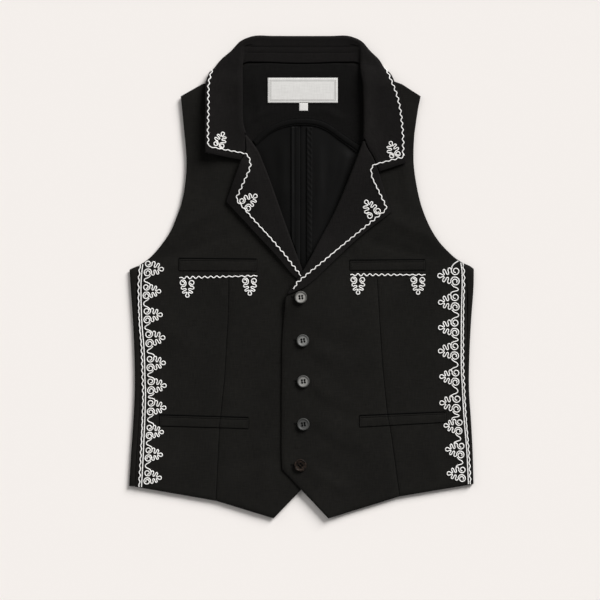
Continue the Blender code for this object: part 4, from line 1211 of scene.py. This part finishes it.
WELTS = [("breast_welt_right", [(-171.5, 8.9), (-62.8, 8.4), (-62.6, 24.4), (-171.3, 25.4)], right_top),
         ("breast_welt_left", [(68, 9.4), (173, 9.8), (173, 23.6), (68, 22.8)], left_top),
         ("hip_welt_right", [(-198.6, -208.4), (-74, -212.1), (-74, -197.4), (-198.4, -193.6)], right_top),
         ("hip_welt_left", [(81.5, -210), (202.7, -203.2), (202.7, -189.5), (81.5, -194.7)], left_top)]
welts = [welt_wall(node, corners, top) for node, corners, top in WELTS]


def label_floor(x, y):
    return lining_floor(x, y) + FACING_CLOTH + GAP


def label_relief(x, y):
    return 0.1 * noise(Vector((x / 20.0, y / 14.0, 3.0))) + 0.06


label_grid = [[(lerp(*LABEL_X, k / 8), lerp(*LABEL_Y, t / 3)) for k in range(9)] for t in range(4)]
tab_grid = [[(lerp(-3.1, 9.0, k / 2), lerp(232.6, 243.3, t / 2)) for k in range(3)] for t in range(3)]
neck_label = laid_wall("neck_label", refined(label_grid, 5, 4), label_floor, 0.9, label_relief, LABEL)
size_tab = laid_wall("size_tab", refined(tab_grid, 3, 3), label_floor, 0.8, label_relief, LABEL)


# What the cords and threads lie on.

def tree_for(*pieces):
    spots = []
    faces = []
    for piece in pieces:
        first = len(spots)
        spots += [v.co.copy() for v in piece.data.vertices]
        faces += [tuple(first + k for k in face.vertices) for face in piece.data.polygons]
    return BVHTree.FromPolygons(spots, faces)


FRONT_TREE = tree_for(front_right, front_left, back_right, back_left, *welts)
FALL_TREE = tree_for(lapel_right, lapel_left, collar)
NECK_TREE = tree_for(neck_label, size_tab, back_facing, facing_binding)


# Height over the vest from which its surface is looked for.
LOOK_FROM = 50.0


def lay_on(tree, path, lift):
    """The path's (x, y) points set down on what lies under them, lift above it, all in mm."""
    out = []
    for x, y in path:
        spot = tree.ray_cast(Vector(placed((x, y, LOOK_FROM))), Vector((0, 0, -1)))[0]
        if spot is not None:
            out.append((x, y, spot.z / MM + lift))
    return out


def even(path, step):
    """The path again with points step apart."""
    p = np.array(path, float)
    far = run_of(p)
    at = np.linspace(0.0, far[-1], max(2, int(far[-1] / step) + 1))
    return np.stack([np.interp(at, far, p[:, c]) for c in range(p.shape[1])], axis=1), at


def waved(path, period, height):
    """A wavy cord about a flat path."""
    p, at = even(path, 0.9)
    d = unit(np.gradient(p, axis=0))
    uneven = 0.8 + 0.3 * np.sin(at / 23.0 + 1.0) + 0.12 * np.sin(at / 7.1)
    fade = np.clip(np.minimum(at, at[-1] - at) / 7.0, 0.3, 1.0)
    shift = height * fade * uneven * np.sin(2 * math.pi * at / period + 0.6 * np.sin(at / 31.0))
    return [(x - dy * s, y + dx * s) for (x, y), (dx, dy), s in zip(p, d, shift)]


def spiral(middle, start, first, last, turns, way):
    """From the ring of a coil round to its middle, on radii first to last."""
    out = []
    steps = max(8, int(abs(turns) * 26))
    for k in range(steps + 1):
        t = k / steps
        a = start + way * turns * 2 * math.pi * t
        r = lerp(first, last, t)
        out.append((middle[0] + r * math.cos(a), middle[1] + r * math.sin(a)))
    return out


# Half of one leaf in its own frame, from its coil to its tip, and the link to the next motif's coil.
# u runs from the border to the tip, v along the border.
LEAF_SIDE = [(11.9, 4.2), (12.0, 7.0), (13.3, 9.2), (15.2, 9.2), (16.0, 7.0), (15.1, 4.2), (15.5, 1.9),
             (17.2, 2.3), (18.6, 5.3), (20.1, 7.5), (21.7, 6.7), (21.4, 4.1), (20.1, 2.0), (21.0, 0.8),
             (22.9, 1.6), (25.0, 2.6), (27.0, 1.9)]
LINK_KEYS = [(11.3, -9.3), (8.8, -12.2), (4.8, -14.4), (3.2, -16.8), (4.6, -19.2), (8.8, -20.9),
             (11.4, -22.7), (11.8, -24.8)]


def motif(scale, apart, link, ring=5.2, lead=False):
    """Runs of cord for one motif. apart is half the distance between its coils and ring their radius;
    link is the distance to the next motif, or nothing for the last; lead adds a cord that leads in."""
    side = [(u, v + (apart - DRAWN_APART) * ramp((15 - u) / 4)) for u, v in LEAF_SIDE]
    low = [(u, -0.92 * v) for u, v in reversed(side[1:])] + [(12.2, -4.4), (10.0, -apart + ring - 0.3)]
    leaf = along(side + [(27.6, 0.0)] + low, [4] * (len(side) + len(low)))
    leaf += spiral((COIL_OUT, -apart), math.radians(88), ring, 1.8, 1.35, 1)
    upper = spiral((COIL_OUT, apart), math.radians(24), ring, 1.8, 1.35, -1)
    if lead:
        lead_in = [(2.6, apart + 15), (4.0, apart + 12), (8.6, apart + 8.6), (11.3, apart + 5.4)]
        upper = along(lead_in, [5] * 3) + upper
    runs = [leaf, upper]
    if link:
        wide = link - DRAWN_LINK
        more = apart - DRAWN_APART
        keys = [(u, v - wide * min(1.0, max(0.0, (-12 - v) / 10)) + more * ramp((-18 - v) / 5))
                for u, v in LINK_KEYS]
        runs.append(along(keys, [5] * 7))
    return [[(u * scale, v * scale) for u, v in run] for run in runs]


def stand_at(runs, spot, axis):
    """Motif runs set at spot with their tip pointing along axis degrees."""
    cos = math.cos(math.radians(axis))
    sin = math.sin(math.radians(axis))
    return [[(spot[0] + u * cos - v * sin, spot[1] + u * sin + v * cos) for u, v in run] for run in runs]


def captured(tree, geometry, label, value):
    """Carries a value that is measured on this geometry along with it."""
    node = tree.nodes.new("GeometryNodeCaptureAttribute")
    node.capture_items.new("FLOAT", label)
    feed(tree, node, {"Geometry": geometry, label: value})
    return node


def painted(tree, geometry, given, sink, label):
    """Ends a tree: real, smooth and in its finish."""
    real = node_in(tree, "GeometryNodeRealizeInstances", {"Geometry": geometry})
    smooth = node_in(tree, "GeometryNodeSetShadeSmooth", {"Geometry": real})
    paint = node_in(tree, "GeometryNodeSetMaterial", {"Geometry": smooth, "Material": given["Finish"]})
    feed(tree, sink, {label: paint})
    return tree


def cord_tree():
    """Round cord along every edge path: even steps, tips closed, one map round and along it."""
    tree, given, sink = group_of(
        "laid_cord", [("Path", "Geometry", None), ("Cord radius", "Float", None), ("Step", "Float", None),
                      ("Sides", "Int", None), ("Finish", "Material", None)],
        [("Cord", "Geometry")], "GeometryNodeTree")
    curve = node_in(tree, "GeometryNodeMeshToCurve", {"Mesh": given["Path"]})
    steps = node_in(tree, "GeometryNodeResampleCurve", {"Curve": curve, "Length": given["Step"]},
                    mode="LENGTH")
    ends = node_in(tree, "GeometryNodeCurveEndpointSelection", {})
    body = node_in(tree, "GeometryNodeSetCurveRadius", {"Curve": steps, "Radius": 1.0})
    closed = node_in(tree, "GeometryNodeSetCurveRadius", {"Curve": body, "Selection": ends, "Radius": 0.02})
    upright = node_in(tree, "GeometryNodeSetCurveNormal", {"Curve": closed}, mode="Z_UP")
    length = node_in(tree, "GeometryNodeSplineParameter", {}).outputs["Length"]
    line = captured(tree, upright, "Length", length)
    corners = node_in(tree, "ShaderNodeMath", {0: given["Sides"], 1: 1.0}, operation="ADD")
    ring = node_in(tree, "GeometryNodeCurveArc", {}, mode="RADIUS")
    feed(tree, ring, {"Resolution": corners, "Radius": given["Cord radius"],
                      "Start Angle": math.radians(-90), "Sweep Angle": math.radians(360)})
    factor = node_in(tree, "GeometryNodeSplineParameter", {}).outputs["Factor"]
    profile = captured(tree, ring, "Around", factor)
    tube = node_in(tree, "GeometryNodeCurveToMesh", {"Curve": line, "Profile Curve": profile})
    place = node_in(tree, "ShaderNodeCombineXYZ",
                    {"X": profile.outputs["Around"], "Y": line.outputs["Length"]})
    chart = node_in(tree, "GeometryNodeStoreNamedAttribute", {}, data_type="FLOAT2", domain="CORNER")
    feed(tree, chart, {"Geometry": tube, "Name": "UVMap", "Value": place})
    merged = node_in(tree, "GeometryNodeMergeByDistance", {"Geometry": chart, "Distance": 0.00003})
    return painted(tree, merged, given, sink, "Cord")


def stitch_tree():
    """Short raised stitches in a row along every edge path."""
    tree, given, sink = group_of(
        "stitch_row", [("Path", "Geometry", None), ("Stitch length", "Float", None), ("Pitch", "Float", None),
                       ("Thread radius", "Float", None), ("Slant", "Float", None),
                       ("Finish", "Material", None)],
        [("Stitches", "Geometry")], "GeometryNodeTree")
    curve = node_in(tree, "GeometryNodeMeshToCurve", {"Mesh": given["Path"]})
    steps = node_in(tree, "GeometryNodeCurveToPoints", {"Curve": curve, "Length": given["Pitch"]},
                    mode="LENGTH")
    bead = node_in(tree, "GeometryNodeMeshUVSphere", {"Segments": 6, "Rings": 4, "Radius": 1.0})
    half = node_in(tree, "ShaderNodeMath", {0: given["Stitch length"], 1: 0.5}, operation="MULTIPLY")
    thread = given["Thread radius"]
    size = node_in(tree, "ShaderNodeCombineXYZ", {"X": half, "Y": thread, "Z": thread})
    slant = node_in(tree, "ShaderNodeCombineXYZ", {"Z": given["Slant"]})
    stitch = node_in(tree, "GeometryNodeTransform", {"Geometry": bead, "Scale": size, "Rotation": slant})
    aim = node_in(tree, "FunctionNodeAlignRotationToVector", {"Vector": steps.outputs["Tangent"]}, axis="X")
    copies = node_in(tree, "GeometryNodeInstanceOnPoints",
                     {"Points": steps, "Instance": stitch, "Rotation": aim})
    return painted(tree, copies, given, sink, "Stitches")


CORD_TREE = cord_tree()
STITCH_TREE = stitch_tree()


def grown(name, paths, tree, values):
    """The paths as a mesh of edges, grown by the node tree into a plain mesh."""
    spots = []
    edges = []
    for path in paths:
        if len(path) < 2:
            continue
        first = len(spots)
        spots += [placed(p) for p in path]
        edges += [(k, k + 1) for k in range(first, len(spots) - 1)]
    mesh = bpy.data.meshes.new(name + "_path")
    mesh.from_pydata(spots, edges, [])
    source = bpy.data.objects.new(name + "_path", mesh)
    bpy.context.scene.collection.objects.link(source)
    grow = source.modifiers.new("grow", "NODES")
    grow.node_group = tree
    for item in tree.interface.items_tree:
        if item.item_type == "SOCKET" and item.in_out == "INPUT" and item.name in values:
            grow[item.identifier] = values[item.name]
    graph = bpy.context.evaluated_depsgraph_get()
    done = bpy.data.meshes.new_from_object(source.evaluated_get(graph))
    done.name = name
    bpy.data.objects.remove(source, do_unlink=True)
    piece = bpy.data.objects.new(name, done)
    bpy.context.scene.collection.objects.link(piece)
    bm = bmesh.new()
    bm.from_mesh(done)
    bmesh.ops.recalc_face_normals(bm, faces=bm.faces)
    bm.to_mesh(done)
    bm.free()
    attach(piece, "root")


def laid_cord(name, paths, radius=CORD_RADIUS, step=0.95, sides=7, finish=CORD):
    values = {"Cord radius": radius * MM, "Step": step * MM, "Sides": sides, "Finish": finish}
    grown(name, paths, CORD_TREE, values)


# Near-black line in the finish that serves both as painted shade and as dark thread.
def dark_line(name, paths, radius, step=2.0):
    laid_cord(name, paths, radius, step, 6, BLACK_THREAD_AND_PAINTED_SHADE)


def stitched(name, paths, finish, length, pitch, radius, slant=0.0):
    values = {"Stitch length": length * MM, "Pitch": pitch * MM, "Thread radius": radius * MM, "Slant": slant,
              "Finish": finish}
    grown(name, paths, STITCH_TREE, values)


# Side borders: straight cord, wavy cord outside it, and a chain of motifs on its inner side.
BORDER_RIGHT = [(-224.0, -294), (-221.2, -242), (-218.5, -172), (-219.1, -144), (-220.4, -102),
                (-223.7, -60), (-224.7, -11), (-222.2, 18)]
BORDER_LEFT = [(233.6, -290), (231.4, -245), (227.3, -195), (224.9, -151), (223.6, -122), (223.8, -56),
               (224.9, 0), (222.9, 20)]


def border_runs(line, side, tips):
    """The three parts of a side border. The motifs point to side; tips holds (y, size) of each."""
    straight = along(line, [10] * (len(line) - 1))
    outside = [(x - (3.4 if side > 0 else -2.8), y) for x, y in straight]
    runs = [straight, waved(outside, WAVE_PERIOD, WAVE_HEIGHT)]
    table = sorted((y, x) for x, y in straight)
    for k, (y, size) in enumerate(tips):
        link = y - tips[k + 1][0] if k + 1 < len(tips) else 0
        x = across(y, table)
        slope = math.degrees(math.atan2(across(y + 12, table) - across(y - 12, table), 24))
        runs_here = motif(size, DRAWN_APART, link / size, lead=side < 0 and k == 0)
        for run in stand_at(runs_here, (0.0, 0.0), -slope):
            runs.append([(x + (0.6 + u if side > 0 else -1.0 - u), y + v) for u, v in run])
    return runs


TIPS_RIGHT = [(12.6, 1.05), (-20.4, 0.98), (-54.4, 1.03), (-87.6, 1.08), (-121.4, 1.03), (-153.2, 1.04),
              (-182.6, 1.03), (-216.4, 0.95), (-248, 0.95), (-280, 0.96)]
TIPS_LEFT = [(0.6, 1.2), (-35.1, 1.14), (-71, 1.12), (-104, 1.12), (-141.2, 1.08), (-178.2, 1.15),
             (-210.4, 1.02), (-243.4, 1.04), (-276.4, 1.02)]
for name, line, side, tips in (("border_cord_right", BORDER_RIGHT, 1, TIPS_RIGHT),
                               ("border_cord_left", BORDER_LEFT, -1, TIPS_LEFT)):
    laid_cord(name, [lay_on(FRONT_TREE, run, LIFT + (0.4 if k == 1 else 0.0))
                     for k, run in enumerate(border_runs(line, side, tips))])

# Wavy cord and two hanging motifs under each breast welt.
pocket_runs = []
for x0, x1, y0, y1 in ((-170.8, -61.6, -1.4, 1.4), (68.6, 173.6, 2.8, 2.8)):
    pocket_runs.append(waved([(x0, y0), (x1, y1)], 8.5, 1.5))
    for x, y in ((lerp(x0, x1, 0.1), y0), (lerp(x0, x1, 0.9), y1)):
        pocket_runs += stand_at(motif(0.97, 6.6, 0, 4.7), (x, y - 0.4), -90)
laid_cord("pocket_cord", [lay_on(FRONT_TREE, run, LIFT) for run in pocket_runs])

# Wavy cord along the lapel and collar edges, with a motif in each point.
EDGE_RIGHT = [(-0.8, 1.4), (-24.1, 31.9), (-43.4, 54.6), (-66, 79), (-88.4, 104.5), (-90.6, 108),
              (-90.2, 111.6), (-73, 149), (-71.2, 157), (-73, 166), (-77, 171.6), (-84, 173.4),
              (-127.4, 181.3), (-129.2, 182.6), (-129.7, 186)]
EDGE_LEFT = [(-11, -17), (-6.2, -8.4), (7.8, 3.5), (30.5, 21.8), (54.6, 42), (115, 91), (118.4, 94.6),
             (118.2, 98.6), (98.6, 139), (97.2, 150), (99.6, 155.4), (105, 157.8), (140.4, 166.9),
             (142.3, 168.6), (142.7, 172)]
# Where each motif on the collar and lapels stands, its direction, size, and its coils' spacing and radius.
FALL_MOTIFS = [((-117.6, 178.6), 70, 0.9, 5.0, 4.2), ((-84.4, 96.6), 39, 1.02, 6.6, 4.6),
               ((132.2, 164.4), 108, 0.94, 5.0, 4.2), ((104.6, 82.4), 122, 1.04, 6.4, 4.5)]
fall_runs = [waved(EDGE_RIGHT, EDGE_PERIOD, 1.0), waved(EDGE_LEFT, EDGE_PERIOD, 1.0)]
for spot, axis, scale, apart, ring in FALL_MOTIFS:
    fall_runs += stand_at(motif(scale, apart, 0, ring), spot, axis)
laid_cord("edge_cord", [lay_on(FALL_TREE, run, LIFT) for run in fall_runs])


def edge_of_collar(inset):
    """Spots and normals on the collar's outer face, inset mm inside its free edge, from point to point."""
    p = np.array(COLLAR, float)
    n = normals_of(COLLAR)
    out = []
    for i in range(4, len(COLLAR) - 3):
        row = p[i]
        k = float(np.interp(inset, run_of(row), np.arange(len(row))))
        low = int(k)
        high = min(low + 1, len(row) - 1)
        normal = lerp(n[i, low], n[i, high], k - low)
        out.append(np.concatenate([lerp(row[low], row[high], k - low), normal / np.linalg.norm(normal)]))
    return np.array(out)


def collar_cord():
    """The wavy cord goes on round the collar's free edge, over the shoulders and under the back."""
    both, at = even(edge_of_collar(4.3), 0.9)
    p = both[:, :3]
    n = unit(both[:, 3:])
    side = np.cross(n, unit(np.gradient(p, axis=0)))
    shift = 1.15 * np.sin(2 * math.pi * at / EDGE_PERIOD)
    out = p + side * shift[:, None] + n * (0.5 * ROLLED_CLOTH + LIFT * 0.7)
    out[:, 2] = np.maximum(out[:, 2], CORD_RADIUS)
    return [tuple(v) for v in out]


laid_cord("collar_cord", [collar_cord()])

# Sewn lines.
stand_paths = []
for level in STAND_LEVELS:
    reach = 74 - (level - 314) * 0.7
    row = [(x, stand_line(level, x)) for x in np.arange(-reach, reach, 2.0)]
    stand_paths.append(lay_on(FALL_TREE, row, 0.05))
stitched("stand_stitches", stand_paths, DARK_THREAD, 2.3, 2.9, 0.27)

left, right, low, high = LABEL_X[0] + 1.0, LABEL_X[1] - 1.0, LABEL_Y[0] + 0.9, LABEL_Y[1] - 0.9
label_corners = [(left, high), (right, high), (right, low), (left, low), (left, high)]
label_paths = [even(side, 1.5)[0] for side in zip(label_corners, label_corners[1:])]
stitched("label_stitches", [lay_on(NECK_TREE, path, 0.03) for path in label_paths], WHITE_THREAD,
         1.9, 2.5, 0.2)
bind_rows = [lay_on(NECK_TREE, along(bind_line(t), [8] * 12), 0.04) for t in (0.12, 0.86)]
stitched("binding_stitches", bind_rows, DARK_THREAD, 2.1, 2.6, 0.3)

# Each welt has stitches inside its ends and top; a near-black line over its top paints the shade of the
# pocket mouth, and near-black lines round it and inside its top paint the shade along its edges and fold.
welt_rows = []
mouths = []
welt_edge_shade_lines = []
upper = []
for _, ((ax, ay), (bx, by), (cx, cy), (dx, dy)), _ in WELTS:
    welt_rows.append([(ax + 2.2, lerp(ay, dy, t / 12)) for t in range(13)])
    welt_rows.append([(bx - 2.2, lerp(by, cy, t / 12)) for t in range(13)])
    welt_rows.append(even([(dx + 1.5, dy - 2.0), (cx - 1.5, cy - 2.0)], 2.0)[0])
    mouths.append(even([(dx, dy + 0.8), (cx, cy + 0.8)], 2.0)[0])
    welt_edge_shade_lines.append(even([(dx - 0.3, dy), (ax - 0.3, ay - 0.35), (bx + 0.3, by - 0.35), (cx + 0.3, cy)], 2.0)[0])
    upper.append(even([(dx + 2.0, dy - 2.4), (cx - 2.0, cy - 2.4)], 2.0)[0])
stitched("welt_stitches", [lay_on(FRONT_TREE, row, 0.03) for row in welt_rows], DARK_THREAD, 1.5, 2.0, 0.2)
# Painted shade: near-black lines at each pocket mouth, along each welt's edges and inside its top.
dark_line("pocket_mouth_painted_shade", [lay_on(FRONT_TREE, row, 0.35) for row in mouths], 0.95)
dark_line("welt_fold_painted_shade", [lay_on(FRONT_TREE, row, 0.0) for row in upper], 0.24)
dark_line("welt_edge_painted_shade", [lay_on(FRONT_TREE, row, 0.15) for row in welt_edge_shade_lines], 0.38)

dart_rows = [[(across(y, table), y) for y in np.arange(-2.0, table[0][0], -3.0)]
             for table in (DART_RIGHT, DART_LEFT)]
dark_line("dart_seams", [lay_on(FRONT_TREE, row, -0.02) for row in dart_rows], 0.34)


def thread_bars(spot, turn):
    """Two bars of doubled thread over a button, from hole to hole, dipping into them."""
    runs = []
    cos = math.cos(math.radians(turn))
    sin = math.sin(math.radians(turn))
    slope_y = (left_floor(spot[0], spot[1] + 6) - left_floor(spot[0], spot[1] - 6)) / 12
    slope_x = (left_floor(spot[0] + 6, spot[1]) - left_floor(spot[0] - 6, spot[1])) / 12
    seat = left_floor(*spot) + CLOTH + GAP + 0.35
    for px in (-BAR_OUT, BAR_OUT):
        for off in (-0.3, 0.3):
            run = []
            for k in range(9):
                t = k / 8
                py = lerp(-1.6, 1.6, t)
                qx = (px + off) * cos - py * sin
                qy = (px + off) * sin + py * cos
                rise = 2.15 - 1.3 * max(0.0, abs(2 * t - 1) - 0.6) / 0.4
                run.append((spot[0] + qx, spot[1] + qy, seat + rise + slope_x * qx + slope_y * qy))
            runs.append(run)
    return runs


# How far each button is turned, in degrees, and how far its thread bars are from its middle.
TURNS = (6, 9, 7, 8, 45)
BAR_OUT = 1.85
bars = []
for spot, turn in zip(BUTTON_SPOTS, TURNS):
    bars += thread_bars(spot, turn)
dark_line("button_threads", bars, 0.42, 0.3)


def buttonhole(x, y):
    """Overcast slit that runs from under the button towards the front edge."""
    rows = []
    for off in (-0.75, 0.75):
        rows.append([(x + lerp(-12.0, 1.5, k / 10), y + off) for k in range(11)])
    rows.append([(x - 12.6 + 1.0 * math.cos(k), y + 1.0 * math.sin(k)) for k in np.linspace(1.2, 5.1, 8)])
    return [lay_on(FRONT_TREE, row, 0.02) for row in rows]


holes = []
for x, y in BUTTON_SPOTS:
    holes += buttonhole(x, y)
stitched("buttonhole_stitches", holes, DARK_THREAD, 1.3, 0.5, 0.2, slant=math.radians(90))

for k, (face, rim, cloud, spread, gloss) in enumerate(HORNS_WITH_PAINTED_GLINT):
    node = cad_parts["button_%d" % (k + 1)]
    spots = np.array([tuple(v.co) for v in node.data.vertices])
    middle = 0.5 * (spots.min(axis=0) + spots.max(axis=0))
    finish = horn_finish("horn_%d" % (k + 1), middle.tolist(), TURNS[k], face, rim, cloud, spread, gloss)
    for slot in node.material_slots:
        slot.material = finish


# What each sheet was cut to, in metres, whether it is less than a full rectangle, and what it lies on.
CUTS = [(front_right, 0.270, 0.630, True, "laid", [lining_right, back_right]),
        (front_left, 0.270, 0.630, True, "laid", [front_right, lining_left, back_left]),
        (back_right, 0.262, 0.592, True, "laid", ["floor"]),
        (back_left, 0.262, 0.592, True, "laid", ["floor"]),
        (lining_right, 0.236, 0.504, True, "laid", [back_right]),
        (lining_left, 0.240, 0.504, True, "laid", [back_left]),
        (back_facing, 0.334, 0.142, True, "laid", [back_right, back_left]),
        (facing_binding, 0.172, 0.0108, False, "laid", [back_facing]),
        (seam_right, 0.0100, 0.170, True, "laid", [lining_right]),
        (seam_left, 0.0100, 0.185, True, "laid", [lining_left]),
        (lapel_right, 0.125, 0.262, True, "folded", [front_right]),
        (lapel_left, 0.125, 0.262, True, "folded", [front_left]),
        (collar, 0.106, 0.660, True, "folded", [front_right, front_left, back_facing]),
        (welts[0], 0.109, 0.0165, False, "laid", [front_right]),
        (welts[1], 0.105, 0.0137, False, "laid", [front_left]),
        (welts[2], 0.1247, 0.0147, False, "laid", [front_right]),
        (welts[3], 0.1214, 0.0145, False, "laid", [front_left]),
        (neck_label, 0.098, 0.0349, False, "laid", [back_facing]),
        (size_tab, 0.0121, 0.0107, False, "laid", [back_facing])]
for piece, width, length, shaped, held, rests_on in CUTS:
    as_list(rests_on)


# Floor, light and camera.
floor_mesh = bpy.data.meshes.new("floor")
GROUND = -0.0002
corners = [(-6, -6, GROUND), (6, -6, GROUND), (6, 6, GROUND), (-6, 6, GROUND)]
floor_mesh.from_pydata(corners, [], [(0, 1, 2, 3)])
floor = bpy.data.objects.new("floor", floor_mesh)
bpy.context.scene.collection.objects.link(floor)
floor_paint, floor_tree, floor_shader = new_finish("pale_ground")
feed(floor_tree, floor_shader, {"Base Color": (0.905, 0.863, 0.831, 1.0), "Roughness": 1.0,
                                "Specular IOR Level": 0.0})
floor_mesh.materials.append(floor_paint)

world = bpy.data.worlds.new("studio")
world.use_nodes = True
feed(world.node_tree, world.node_tree.nodes["Background"], {"Color": (1.0, 1.0, 1.0, 1.0), "Strength": 0.22})
bpy.context.scene.world = world

# A broad key from the upper right and a weak, softer one from the upper left.
SUNS = [("key", 4.69, 30, (-0.56, -0.69, -0.46)), ("fill", 0.62, 55, (0.72, -0.5, -0.5))]
for label, energy, spread, way in SUNS:
    sun = bpy.data.lights.new(label, "SUN")
    sun.energy = energy
    sun.angle = math.radians(spread)
    lamp = bpy.data.objects.new(label, sun)
    lamp.rotation_euler = Vector(way).to_track_quat("-Z", "Y").to_euler()
    bpy.context.scene.collection.objects.link(lamp)

bpy.context.scene.view_settings.view_transform = "Standard"
bpy.context.scene.view_settings.look = "None"

# The camera is this far away, in metres, and sees this width at the vest.
AWAY = 3.0
VIEW_WIDTH = 0.84
camera = bpy.data.cameras.new("camera")
camera.sensor_width = 36.0
camera.lens = camera.sensor_width * AWAY / VIEW_WIDTH
camera.clip_end = 20.0
eye = bpy.data.objects.new("camera", camera)
eye.location = (-0.0020, (-32.3 + SHIFT_Y) * MM, AWAY + 0.005)
bpy.context.scene.collection.objects.link(eye)
bpy.context.scene.camera = eye
